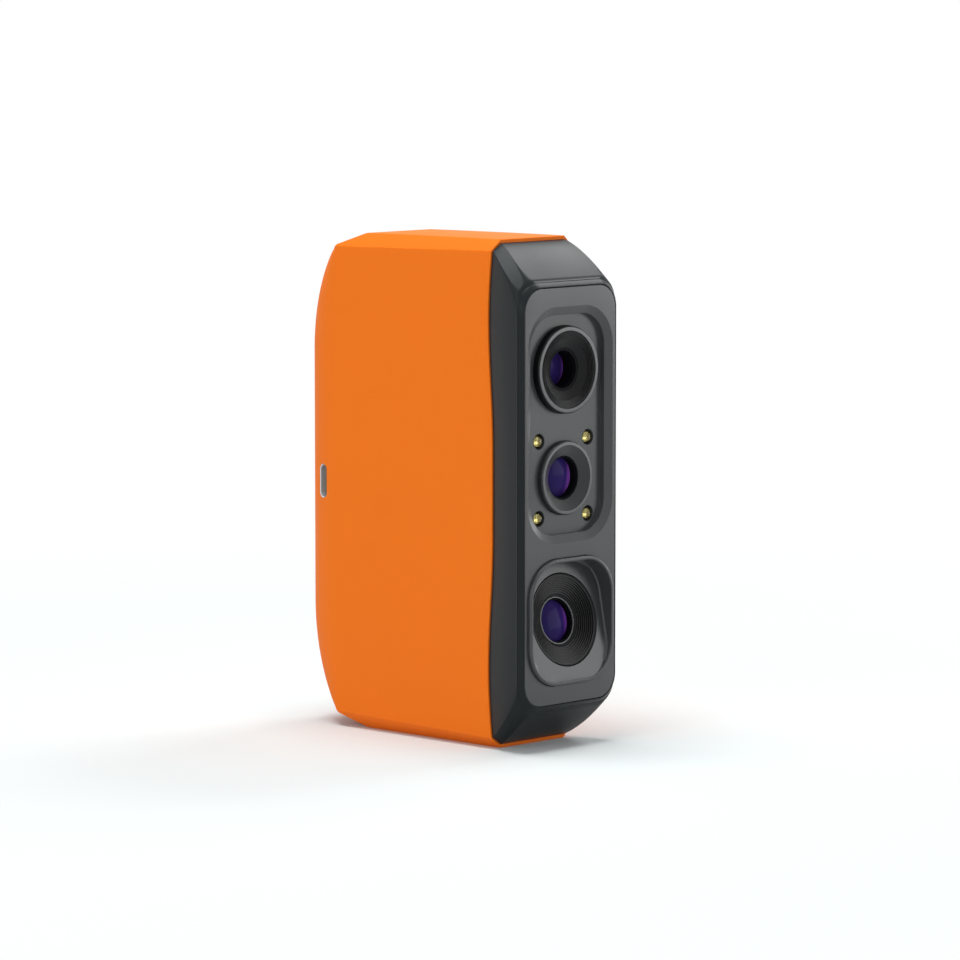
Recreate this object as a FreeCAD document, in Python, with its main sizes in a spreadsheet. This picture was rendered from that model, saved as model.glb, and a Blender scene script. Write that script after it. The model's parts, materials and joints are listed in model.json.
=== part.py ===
import FreeCAD, Part
import math
import os
from types import SimpleNamespace

import Sketcher
from FreeCAD import Placement, Rotation, Vector

# A slim handheld 3-D scanner that stands on its flat bottom. +Z is up, the lenses look along -Y,
# and the origin is the mouth of the tripod socket in the middle of the bottom face.
# A one-piece sleeve, open at the front, is closed by a flared bezel; the face plate, the lens
# hood and the optics stand in the bezel, and the main board stands in the sleeve's round nose.

SIZES = {
    # the sleeve: lengths along Y are measured back from the seam with the bezel
    "body_height": 125.0,
    "body_width": 29.0,
    "sleeve_depth": 71.3,
    "socket_to_seam": 28.0,
    "sleeve_wall": 2.0,
    "chamfer_width": 3.15,
    "chamfer_height": 2.7,
    "chamfer_growth": 1.45,
    "nose_length": 17.7,
    "roof_length": 46.3,
    "rear_slope_drop": 4.0,
    "rear_arc_depth": 8.1,
    "rear_arc_height": 27.0,
    "seam_wave": 1.4,
    "seam_wave_height": 19.6,
    "seam_flat_height": 21.0,
    # the bezel, which flares out from the seam to a ledge round the face plate
    "bezel_depth": 11.65,
    "bezel_flare": 3.1,
    "bezel_end_slope": 10.05,
    "bezel_front_corner": 4.6,
    "bezel_side_inset": 0.45,
    "bezel_roof_inset": 0.9,
    "bezel_wall": 2.0,
    "skirt_depth": 5.0,
    "skirt_wall": 1.4,
    "skirt_gap": 0.1,
    "skirt_corner_room": 0.4,
    "gasket_size": 0.9,
    "gasket_place": 3.2,
    # the face plate
    "ledge_side": 0.8,
    "ledge_end": 0.95,
    "plate_corner": 6.6,
    "plate_proud": 1.0,
    "plate_rim": 2.0,
    "plate_edge_round": 0.9,
    "plate_gap": 0.2,
    "tape_thickness": 0.2,
    "flange_thickness": 1.8,
    "flange_side": 2.0,
    "flange_end": 5.0,
    # the upper recess of the plate; its centre, like every other place along the height, is
    # measured up or down from the middle of the body
    "recess_side": 1.6,
    "recess_height": 57.75,
    "recess_corner": 10.0,
    "recess_rise": 17.4,
    "recess_slope_width": 2.0,
    "recess_slope_depth": 1.0,
    "recess_depth": 2.35,
    "recess_floor": 1.2,
    # the projector
    "projector_rise": 30.7,
    "projector_ring_radius": 10.75,
    "projector_ring_proud": 1.83,
    "projector_cone_radius": 8.7,
    "projector_aperture_radius": 5.9,
    "projector_cone_depth": 1.63,
    "projector_barrel_radius": 7.4,
    "projector_glass_radius": 4.6,
    "projector_glass_bulge": 0.6,
    "projector_glass_depth": 4.0,
    "projector_engine_bore": 7.0,
    "projector_engine_length": 21.0,
    "projector_board_height": 23.0,
    "engine_mouth_depth": 2.0,
    "slide_thickness": 1.0,
    "slide_place": 1.0,
    "condenser_place": 3.0,
    "condenser_bulge": 0.5,
    "emitter_size": 3.0,
    "emitter_thickness": 0.8,
    "projector_engine_width": 19.0,
    "heatsink_length": 11.0,
    "heatsink_base": 2.75,
    "fin_thickness": 1.0,
    "fin_count": 6,
    # the colour camera and its four fill lights
    "colour_rise": 4.15,
    "colour_ring_radius": 9.05,
    "colour_ring_proud": 1.47,
    "colour_cone_radius": 8.0,
    "colour_aperture_radius": 5.6,
    "colour_cone_depth": 1.5,
    "colour_barrel_radius": 6.0,
    "colour_glass_radius": 5.0,
    "colour_glass_bulge": 0.8,
    "colour_barrel_to_board": 4.5,
    "light_spread_width": 17.48,
    "light_spread_height": 18.84,
    "light_radius": 1.25,
    "light_hole_radius": 1.95,
    "light_proud": 0.5,
    "light_board_thickness": 0.8,
    "light_board_margin": 2.5,
    # the depth camera, which looks up towards the projector's axis, and its hood
    "depth_drop": 30.75,
    "depth_tilt": 11.0,
    "hood_drop": 30.85,
    "hood_side": 1.8,
    "hood_height": 31.3,
    "hood_corner": 9.8,
    "hood_rim": 0.94,
    "hood_proud": 0.95,
    "hood_neck_step": 0.5,
    "hood_neck_depth": 5.2,
    "hood_floor_depth": 2.95,
    "depth_cone_radius": 11.1,
    "depth_aperture_radius": 6.1,
    "depth_cone_depth": 2.5,
    "depth_barrel_radius": 6.6,
    "depth_glass_radius": 5.2,
    "depth_glass_bulge": 0.8,
    "depth_glass_place": 0.85,
    "depth_barrel_to_board": 3.6,
    "depth_board_depth": 13.2,
    "wedge_drop": 2.0,
    # what the three optical units share
    "glare_step_count": 5,
    "glare_step_share": 0.5,
    "fit_gap": 0.05,
    "ring_flange": 0.85,
    "ring_flange_thickness": 1.2,
    "glass_thickness": 1.6,
    "barrel_lip": 0.4,
    "barrel_shoulder": 1.0,
    "sensor_board_size": 18.0,
    "sensor_board_thickness": 1.2,
    "sensor_size": 8.0,
    "sensor_thickness": 1.0,
    "holder_size": 15.6,
    "holder_grip": 4.0,
    "holder_shoulder": 0.25,
    # the optical bench: a bulkhead behind the bezel and two rails back to the main board
    "bench_side_gap": 0.8,
    "bench_tab_length": 3.7,
    "bench_start": 6.5,
    "bulkhead_thickness": 2.5,
    "rail_thickness": 1.5,
    "rail_end_inset": 3.0,
    "rail_window_margin": 8.0,
    "lug_length": 6.0,
    "lug_width": 4.4,
    "lug_height": 6.0,
    # the main board and what it carries
    "board_side_inset": 0.5,
    "board_end_room": 18.0,
    "board_thickness": 1.6,
    "board_to_rear": 15.1,
    "chip_size": 14.0,
    "chip_thickness": 1.4,
    "pad_thickness": 0.5,
    "spreader_width": 18.4,
    "spreader_height": 34.0,
    "spreader_thickness": 2.5,
    "spreader_fin_length": 2.5,
    "memory_width": 9.0,
    "memory_height": 7.5,
    "memory_thickness": 1.1,
    "connector_width": 12.0,
    "connector_height": 3.4,
    "connector_thickness": 2.0,
    "connector_pitch": 6.8,
    "ribbon_width": 10.0,
    "ribbon_thickness": 0.25,
    "ribbon_slot_room": 1.0,
    # the USB-C port in the nose's left side
    "usb_drop": 0.8,
    "usb_length": 8.94,
    "usb_thickness": 3.2,
    "usb_shell_wall": 0.3,
    "usb_depth": 7.4,
    "usb_mouth_inset": 1.3,
    "usb_gap": 0.15,
    "usb_back_wall": 0.6,
    "usb_tongue_thickness": 0.7,
    "usb_tongue_width": 6.64,
    "usb_tongue_recess": 0.9,
    # the scan button at the rear, its switch and the status light above it
    "button_rise": 21.5,
    "button_length": 20.0,
    "button_width": 9.0,
    "button_proud": 0.7,
    "button_gap": 0.3,
    "button_travel": 0.6,
    "button_flange": 0.9,
    "button_flange_thickness": 1.0,
    "button_flange_depth": 4.2,
    "switch_size": 6.0,
    "switch_height": 4.0,
    "plunger_radius": 1.7,
    "plunger_gap": 0.08,
    "plunger_seat": 1.2,
    "status_rise": 36.5,
    "status_radius": 1.1,
    "status_gap": 0.1,
    "status_led_size": 2.0,
    "status_led_thickness": 0.8,
    # the tripod socket, a quarter inch across
    "socket_radius": 3.175,
    "socket_depth": 8.5,
    "insert_radius": 5.0,
    "insert_length": 10.0,
    "insert_boss_radius": 7.6,
    # the screws
    "screw_radius": 1.0,
    "screw_head_radius": 1.9,
    "screw_head_length": 1.2,
    "screw_gap": 0.05,
    "screw_key_radius": 0.9,
    "screw_key_depth": 0.7,
    "screw_end_room": 1.5,
    "post_radius": 2.1,
    "post_spread": 17.0,
    "bench_post_spread": 6.4,
    "post_end_inset": 2.8,
    "sleeve_post_length": 9.0,
}

document = FreeCAD.newDocument("handheld_scanner")
sheet = document.addObject("Spreadsheet::Sheet", "Sizes")


class Length:
    """A size: its number, and the spreadsheet formula that gives that number."""

    def __init__(self, number, formula):
        self.number = number
        self.formula = formula

    def __float__(self):
        return self.number

    def __add__(self, other):
        other = length(other)
        return Length(self.number + other.number, f"({self.formula} + {other.formula})")

    def __radd__(self, other):
        return length(other) + self

    def __sub__(self, other):
        other = length(other)
        return Length(self.number - other.number, f"({self.formula} - {other.formula})")

    def __rsub__(self, other):
        return length(other) - self

    def __neg__(self):
        return Length(-self.number, f"(0 - {self.formula})")

    def __mul__(self, other):
        other = length(other)
        return Length(self.number * other.number, f"({self.formula} * {other.formula})")

    def __rmul__(self, other):
        return length(other) * self

    def __truediv__(self, other):
        other = length(other)
        return Length(self.number / other.number, f"({self.formula} / {other.formula})")


def length(thing):
    """Return thing as a Length, so that plain numbers and sizes mix."""
    if isinstance(thing, Length):
        return thing
    return Length(float(thing), repr(float(thing)))


def fill_sheet():
    """Write each size to its own cell and return the sizes by name."""
    lengths = {}
    for row, (name, number) in enumerate(SIZES.items(), start=1):
        cell = f"A{row}"
        sheet.set(cell, str(number))
        sheet.setAlias(cell, name)
    document.recompute()
    for name in SIZES:
        lengths[name] = Length(float(sheet.get(name)), f"Sizes.{name}")
    return SimpleNamespace(**lengths)


size = fill_sheet()
nodes = []


def node(thing, label):
    """Name a finished piece; its label names its file."""
    thing.Label = label
    nodes.append(thing)
    return thing


def bind(thing, **values):
    """Bind the named properties of an object to sizes."""
    for name, value in values.items():
        thing.setExpression(name, length(value).formula)


def place(thing, x=0, y=0, z=0, axis=Vector(0, 0, 1), angle=0):
    """Put an object's own origin at x, y, z, turned about an axis by an angle."""
    thing.Placement = Placement(Vector(0, 0, 0), Rotation(axis, float(length(angle))))
    for name, value in (("x", x), ("y", y), ("z", z)):
        thing.setExpression(f"Placement.Base.{name}", length(value).formula)
    if isinstance(angle, Length):
        thing.setExpression("Placement.Rotation.Angle", angle.formula)
    return thing


ALONG_Y = {"axis": Vector(1, 0, 0), "angle": -90}
AGAINST_Y = {"axis": Vector(1, 0, 0), "angle": 90}


def block(name, width, depth, height, x, y, z):
    """A box whose lowest corner is at x, y, z."""
    box = document.addObject("Part::Box", name)
    bind(box, Length=width, Width=depth, Height=height)
    return place(box, x, y, z)


def middle_block(name, width, depth, height, y, z):
    """A box centred on X and on the height z, running back from y."""
    return block(name, width, depth, height, -(width / 2), y, z - height / 2)


def rod(name, radius, long, x, y, z, **turn):
    """A cylinder that starts at x, y, z and runs up, or along Y when turned."""
    cylinder = document.addObject("Part::Cylinder", name)
    bind(cylinder, Radius=radius, Height=long)
    return place(cylinder, x, y, z, **turn)


def fused(name, pieces):
    """One solid made of several that touch or overlap."""
    union = document.addObject("Part::MultiFuse", name)
    union.Shapes = pieces
    union.Refine = True
    return union


def cut(name, base, tools):
    """The base with every tool taken away."""
    result = document.addObject("Part::Cut", name)
    result.Base = base
    result.Tool = tools[0] if len(tools) == 1 else fused(name + "_tools", tools)
    result.Refine = True
    return result


def shared(name, pieces):
    """What all the pieces have in common."""
    result = document.addObject("Part::MultiCommon", name)
    result.Shapes = pieces
    return result


def group(name, pieces):
    """Several separate solids in one object."""
    compound = document.addObject("Part::Compound", name)
    compound.Links = pieces
    return compound


def built(name, shape, x=0, y=0, z=0):
    """An object that holds a shape made with Part's own functions."""
    feature = document.addObject("Part::Feature", name)
    feature.Shape = shape
    return place(feature, x, y, z)


def sketch_on(body, role, points):
    """A closed polygon on one of the body's own planes, each corner held by two sizes."""
    sketch = body.newObject("Sketcher::SketchObject", body.Name + "_sketch")
    plane = [feature for feature in body.Origin.OriginFeatures if feature.Role == role][0]
    sketch.AttachmentSupport = [(plane, "")]
    sketch.MapMode = "FlatFace"
    corners = [Vector(float(length(a)), float(length(b)), 0) for a, b in points]
    count = len(corners)
    for index in range(count):
        sketch.addGeometry(Part.LineSegment(corners[index], corners[(index + 1) % count]))
    for index in range(count):
        sketch.addConstraint(Sketcher.Constraint("Coincident", index, 2, (index + 1) % count, 1))
    for index, point in enumerate(points):
        for kind, value in zip(("DistanceX", "DistanceY"), point):
            rule = Sketcher.Constraint(kind, -1, 1, index, 1, float(length(value)))
            number = sketch.addConstraint(rule)
            if isinstance(value, Length):
                sketch.setExpression(f"Constraints[{number}]", value.formula)
    return sketch


def turned(name, points, x=0, y=0, z=0, **turn):
    """A piece turned about its own Y axis from corners given as radius and place along Y."""
    body = document.addObject("PartDesign::Body", name)
    sketch = sketch_on(body, "XY_Plane", points)
    revolution = body.newObject("PartDesign::Revolution", name + "_turn")
    revolution.Profile = sketch
    revolution.ReferenceAxis = (sketch, ["V_Axis"])
    revolution.Angle = 360
    return place(body, x, y, z, **turn)


def edges_along(shape, direction):
    """The names of the straight edges that run in a direction."""
    names = []
    for index, edge in enumerate(shape.Edges, start=1):
        straight = edge.Curve.TypeId == "Part::GeomLine"
        if straight and edge.Curve.Direction.cross(direction).Length < 1e-6:
            names.append(f"Edge{index}")
    return names


def edges_at(shape, y):
    """The names of the edges that lie in the plane at y."""
    names = []
    for index, edge in enumerate(shape.Edges, start=1):
        box = edge.BoundBox
        if abs(box.YMin - y) < 1e-6 and abs(box.YMax - y) < 1e-6:
            names.append(f"Edge{index}")
    return names


def dressed(body, kind, name, base, edges, **values):
    """Round or bevel some edges of a body's last feature."""
    feature = body.newObject(kind, name)
    feature.Base = (base, edges)
    bind(feature, **values)
    body.Tip = feature
    document.recompute()
    return feature


def slab(name, width, height, depth, corner, y, z, tilt=0, edge_round=None, back_bevel=None):
    """A plate across X and Z with round corners, from y back, centred on the height z."""
    body = document.addObject("PartDesign::Body", name)
    half_width = width / 2
    half_height = height / 2
    corners = [
        (-half_width, -half_height),
        (half_width, -half_height),
        (half_width, half_height),
        (-half_width, half_height),
    ]
    pad = body.newObject("PartDesign::Pad", name + "_pad")
    pad.Profile = sketch_on(body, "XZ_Plane", corners)
    pad.Reversed = True
    bind(pad, Length=depth)
    document.recompute()
    upright = edges_along(pad.Shape, Vector(0, 1, 0))
    last = dressed(body, "PartDesign::Fillet", name + "_corners", pad, upright, Radius=corner)
    if edge_round is not None:
        rim = edges_at(last.Shape, 0)
        last = dressed(body, "PartDesign::Fillet", name + "_edge", last, rim, Radius=edge_round)
    if back_bevel is not None:
        across, along = back_bevel
        rim = edges_at(last.Shape, float(depth))
        bevel = body.newObject("PartDesign::Chamfer", name + "_bevel")
        bevel.Base = (last, rim)
        bevel.ChamferType = "Two distances"
        bevel.FlipDirection = True
        bind(bevel, Size=across, Size2=along)
        body.Tip = bevel
        document.recompute()
    return place(body, 0, y, z, axis=Vector(1, 0, 0), angle=tilt)


def cap_screw(name, x, y, z, long, forward):
    """A socket-head screw whose head stands at y; its shank runs forward, or else back."""
    turn = AGAINST_Y if forward else ALONG_Y
    way = -1 if forward else 1
    head = rod(name + "_head", size.screw_head_radius, size.screw_head_length, x, y, z, **turn)
    neck_y = y + size.screw_head_length * way
    shank = rod(name + "_shank", size.screw_radius, long, x, neck_y, z, **turn)
    key = document.addObject("Part::Prism", name + "_key")
    key.Polygon = 6
    bind(key, Circumradius=size.screw_key_radius, Height=size.screw_key_depth)
    place(key, x, y, z, **turn)
    return cut(name, fused(name + "_whole", [head, shank]), [key])


# Named places that several pieces share.

middle_z = size.body_height / 2
bezel_front_width = size.body_width + size.bezel_flare * 2
bezel_front_height = size.body_height - size.bezel_end_slope * 2
plate_width = bezel_front_width - size.ledge_side * 2
plate_height = bezel_front_height - size.ledge_end * 2
flange_opening_width = plate_width - size.flange_side * 2
flange_opening_height = plate_height - size.flange_end * 2
recess_width = plate_width - size.recess_side * 2
recess_z = middle_z + size.recess_rise
projector_z = middle_z + size.projector_rise
colour_z = middle_z + size.colour_rise
depth_z = middle_z - size.depth_drop
hood_z = middle_z - size.hood_drop
hood_width = plate_width - size.hood_side * 2
hood_neck_width = hood_width - size.hood_neck_step * 2
usb_z = middle_z - size.usb_drop
button_z = middle_z + size.button_rise
status_z = middle_z + size.status_rise
bench_width = size.body_width - size.sleeve_wall * 2 - size.bench_side_gap * 2
board_width = bench_width - size.board_side_inset * 2
board_height = size.body_height - size.board_end_room * 2
post_height_spread = plate_height - size.post_end_inset * 2
bench_height = post_height_spread - size.bench_tab_length * 2
rail_height = bench_height - size.rail_end_inset * 2
seam_y = -size.socket_to_seam
ledge_y = seam_y - size.bezel_depth
plate_y = ledge_y - size.plate_proud
plate_back_y = plate_y + size.plate_rim
flange_y = plate_back_y + size.tape_thickness
flange_back_y = flange_y + size.flange_thickness
recess_floor_y = plate_y + size.recess_depth
recess_back_y = recess_floor_y + size.recess_floor
skirt_end_y = seam_y + size.skirt_depth
bench_y = seam_y + size.bench_start
bench_back_y = bench_y + size.bulkhead_thickness
board_y = seam_y + size.sleeve_depth - size.board_to_rear
board_back_y = board_y + size.board_thickness
rear_y = seam_y + size.sleeve_depth
hood_y = plate_y - size.hood_proud
depth_y = hood_y + size.hood_floor_depth
depth_tilt = -size.depth_tilt
projector_front_y = recess_floor_y - size.projector_ring_proud
colour_front_y = recess_floor_y - size.colour_ring_proud
post_heights = [middle_z - post_height_spread / 2, middle_z + post_height_spread / 2]
sleeve_post_places = [
    (size.post_spread / 2 * side, z) for side in (-1, 1) for z in post_heights
]
bench_post_places = [
    (size.bench_post_spread / 2 * side, z) for side in (-1, 1) for z in post_heights
]
usb_inner_x = size.usb_depth - (size.body_width / 2 - size.usb_mouth_inset)
light_places = [
    (size.light_spread_width / 2 * side, colour_z + size.light_spread_height / 2 * way)
    for side in (-1, 1)
    for way in (-1, 1)
]


# The sleeve.

def octagon(half_width, low, high, cut_width, cut_height, y):
    """A rectangle across X and Z with its four corners cut off, as a closed wire."""
    points = [
        (-half_width + cut_width, low),
        (half_width - cut_width, low),
        (half_width, low + cut_height),
        (half_width, high - cut_height),
        (half_width - cut_width, high),
        (-half_width + cut_width, high),
        (-half_width, high - cut_height),
        (-half_width, low + cut_height),
    ]
    return Part.makePolygon([Vector(x, y, z) for x, z in points + points[:1]])


def side_view(inset, front):
    """The sleeve's side view: flat roof and base, sloped ends and a rounded upright rear."""
    low = inset
    high = float(size.body_height) - inset
    rear = float(size.sleeve_depth) - inset
    roof = float(size.roof_length)
    drop = float(size.rear_slope_drop)
    arc_height = float(size.rear_arc_height)
    depth = float(size.rear_arc_depth)
    rise = arc_height - drop - inset
    radius = (depth * depth + rise * rise) / (2 * depth)
    half_turn = math.atan2(rise, radius - depth) / 2
    width = float(size.body_width)
    arc_y = rear - radius + radius * math.cos(half_turn)
    arc_z = arc_height - radius * math.sin(half_turn)

    def turn_up(z):
        return low + high - z

    def at(y, z):
        return Vector(-width, y, z)

    edges = [
        Part.LineSegment(at(front, low), at(roof, low)),
        Part.LineSegment(at(roof, low), at(rear - depth, low + drop)),
        Part.Arc(at(rear - depth, low + drop), at(arc_y, arc_z), at(rear, arc_height)),
        Part.LineSegment(at(rear, arc_height), at(rear, turn_up(arc_height))),
        Part.Arc(
            at(rear, turn_up(arc_height)),
            at(arc_y, turn_up(arc_z)),
            at(rear - depth, high - drop),
        ),
        Part.LineSegment(at(rear - depth, high - drop), at(roof, high)),
        Part.LineSegment(at(roof, high), at(front, high)),
        Part.LineSegment(at(front, high), at(front, low)),
    ]
    face = Part.Face(Part.Wire([edge.toShape() for edge in edges]))
    return face.extrude(Vector(2 * width, 0, 0))


def plan_view(inset, front):
    """The sleeve seen from above: straight sides and a half-ellipse nose."""
    half = float(size.body_width) / 2 - inset
    nose = float(size.nose_length) - inset
    start = float(size.sleeve_depth) - float(size.nose_length)
    centre = Vector(0, start, 0)
    ellipse = Part.Ellipse(Vector(0, start + nose, 0), Vector(half, start, 0), centre)
    if nose < half:
        ellipse = Part.Ellipse(Vector(half, start, 0), Vector(0, start + nose, 0), centre)
    start_angle = ellipse.parameter(Vector(half, start, 0))
    end_angle = ellipse.parameter(Vector(-half, start, 0))
    middle = ellipse.value((start_angle + end_angle) / 2)
    if middle.y < start:
        start_angle, end_angle = end_angle, start_angle
    nose_edge = Part.ArcOfEllipse(ellipse, start_angle, end_angle).toShape()
    first, last = nose_edge.Vertexes[0].Point, nose_edge.Vertexes[-1].Point
    front_last = Vector(last.x, front, 0)
    front_first = Vector(first.x, front, 0)
    edges = [
        nose_edge,
        Part.LineSegment(last, front_last).toShape(),
        Part.LineSegment(front_last, front_first).toShape(),
        Part.LineSegment(front_first, first).toShape(),
    ]
    return Part.Face(Part.Wire(edges)).extrude(Vector(0, 0, float(size.body_height)))


def front_view(inset, front):
    """The sleeve's chamfered section, whose corner cuts grow taller towards the rear."""
    half = float(size.body_width) / 2 - inset
    low = inset
    high = float(size.body_height) - inset
    rear = float(size.sleeve_depth) - inset
    cut_width = float(size.chamfer_width)
    cut_height = float(size.chamfer_height)
    growth = float(size.chamfer_growth)
    ends = [
        octagon(half, low, high, cut_width, cut_height, 0),
        octagon(half, low, high, cut_width, cut_height + growth, rear),
    ]
    body = Part.makeLoft(ends, True, True)
    if front < 0:
        mouth = Part.Face(octagon(half, low, high, cut_width, cut_height, 0))
        body = body.fuse(mouth.extrude(Vector(0, front, 0))).removeSplitter()
    return body


def sleeve_form(inset, front):
    """The sleeve's whole form, shrunk on every side by inset, from front to the rear."""
    body = side_view(inset, front).common(plan_view(inset, front))
    return body.common(front_view(inset, front))


def behind_seam():
    """Everything behind the seam, whose line waves back near the top and the bottom."""
    half = float(size.body_height) / 2
    wave = float(size.seam_wave)
    wave_z = float(size.seam_wave_height)
    flat = float(size.seam_flat_height) / 2
    heights = [
        (0, 0),
        (wave, wave_z),
        (0, half - flat),
        (0, half + flat),
        (wave, 2 * half - wave_z),
        (0, 2 * half),
    ]
    width = float(bezel_front_width) * 2
    curve = Part.BSplineCurve()
    curve.interpolate([Vector(-width, y, z) for y, z in heights])
    far = float(size.sleeve_depth) * 2
    low = Vector(-width, 0, 0)
    high = Vector(-width, 0, 2 * half)
    corners = [high, high + Vector(0, far, 0), low + Vector(0, far, 0), low]
    edges = [curve.toShape()]
    for start, end in zip(corners, corners[1:]):
        edges.append(Part.LineSegment(start, end).toShape())
    face = Part.Face(Part.Wire(edges))
    return face.extrude(Vector(2 * width, 0, 0))


def housing_sleeve():
    """The outer shell, with its screw posts, the tripod boss and the port and button holes."""
    wall = float(size.sleeve_wall)
    shell = sleeve_form(0, 0).common(behind_seam())
    cavity = sleeve_form(wall, -wall)
    shell_piece = built("sleeve_shell", shell.cut(cavity), y=seam_y)
    cavity_piece = built("sleeve_inside", sleeve_form(wall / 2, 0), y=seam_y)
    posts = []
    for index, (x, z) in enumerate(sleeve_post_places):
        posts.append(
            rod(f"sleeve_post{index}", size.post_radius, size.sleeve_post_length,
                x, skirt_end_y, z, **ALONG_Y)
        )
        reach = size.body_height / 2 - post_height_spread / 2
        low_z = 0 if z is post_heights[0] else z
        posts.append(
            block(f"sleeve_rib{index}", size.bezel_wall, size.sleeve_post_length, reach,
                  x - size.bezel_wall / 2, skirt_end_y, low_z)
        )
    boss_top = size.insert_length + size.sleeve_wall
    posts.append(rod("tripod_boss", size.insert_boss_radius, boss_top, 0, 0, 0))
    carried = shared("sleeve_posts", [fused("sleeve_posts_whole", posts), cavity_piece])
    whole = fused("sleeve_whole", [shell_piece, carried])
    holes = [
        rod(f"sleeve_pilot{index}", size.screw_radius + size.screw_gap, size.sleeve_post_length,
            x, skirt_end_y - size.screw_gap, z, **ALONG_Y)
        for index, (x, z) in enumerate(sleeve_post_places)
    ]
    holes.append(rod("insert_hole", size.insert_radius, size.insert_length, 0, 0, 0))
    holes.append(usb_form("usb_hole", size.usb_gap, usb_inner_x, size.body_width))
    holes.append(pill("button_hole", size.button_gap, rear_y - size.nose_length / 2))
    holes.append(
        rod("status_hole", size.status_radius + size.status_gap, size.nose_length,
            0, rear_y - size.nose_length / 2, status_z, **ALONG_Y)
    )
    node(cut("sleeve_finished", whole, holes), "housing_sleeve")


def pill(name, gap, y):
    """The button's round-ended outline, grown by gap, from y back past the rear."""
    end_radius = size.button_width / 2 + gap
    straight = size.button_length - size.button_width
    parts = [
        rod(f"{name}_end{index}", end_radius, size.nose_length,
            0, y, button_z + straight / 2 * way, **ALONG_Y)
        for index, way in enumerate((-1, 1))
    ]
    parts.append(
        middle_block(f"{name}_middle", end_radius * 2, size.nose_length, straight,
                     y, button_z)
    )
    return fused(name, parts)


def usb_form(name, gap, start_x, reach):
    """The port's round-ended outline, grown by gap, from start_x out through the left side."""
    end_radius = size.usb_thickness / 2 + gap
    straight = size.usb_length - size.usb_thickness
    centre_y = board_back_y + size.usb_thickness / 2
    parts = [
        rod(f"{name}_end{index}", end_radius, reach, start_x, centre_y,
            usb_z + straight / 2 * way, axis=Vector(0, 1, 0), angle=-90)
        for index, way in enumerate((-1, 1))
    ]
    parts.append(
        block(f"{name}_middle", reach, end_radius * 2, straight, start_x - reach,
              centre_y - end_radius, usb_z - straight / 2)
    )
    return fused(name, parts)


def tripod_insert():
    """The brass insert, open at the bottom and closed at its top."""
    body = rod("insert_body", size.insert_radius, size.insert_length, 0, 0, 0)
    bore = rod("insert_bore", size.socket_radius, size.socket_depth, 0, 0, 0)
    node(cut("insert_finished", body, [bore]), "tripod_insert")


# The bezel, its gasket and the face plate.

def bezel_form(side_inset, roof_inset, front_inset, start, end):
    """The bezel's flare from its octagon at the seam to its wider front."""
    half_height = float(size.body_height) / 2
    half_rear = float(size.body_width) / 2 - side_inset
    rear = octagon(
        half_rear, roof_inset, 2 * half_height - roof_inset,
        float(size.chamfer_width), float(size.chamfer_height), start,
    )
    front_half_width = float(bezel_front_width) / 2 - front_inset
    front_half_height = float(bezel_front_height) / 2 - front_inset
    corner = float(size.bezel_front_corner)
    front = octagon(
        front_half_width, half_height - front_half_height, half_height + front_half_height,
        corner, corner, end,
    )
    return Part.makeLoft([rear, front], True, True)


def ring_between(outer_inset, inner_inset, start, end):
    """An octagonal tube that follows the sleeve's mouth, between two insets."""
    height = float(size.body_height)
    half = float(size.body_width) / 2
    room = float(size.skirt_corner_room)
    cuts = (float(size.chamfer_width) + room, float(size.chamfer_height) + room)
    solids = []
    for inset in (outer_inset, inner_inset):
        wire = octagon(half - inset, inset, height - inset, *cuts, start)
        solids.append(Part.Face(wire).extrude(Vector(0, end - start, 0)))
    return solids[0].cut(solids[1])


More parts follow.
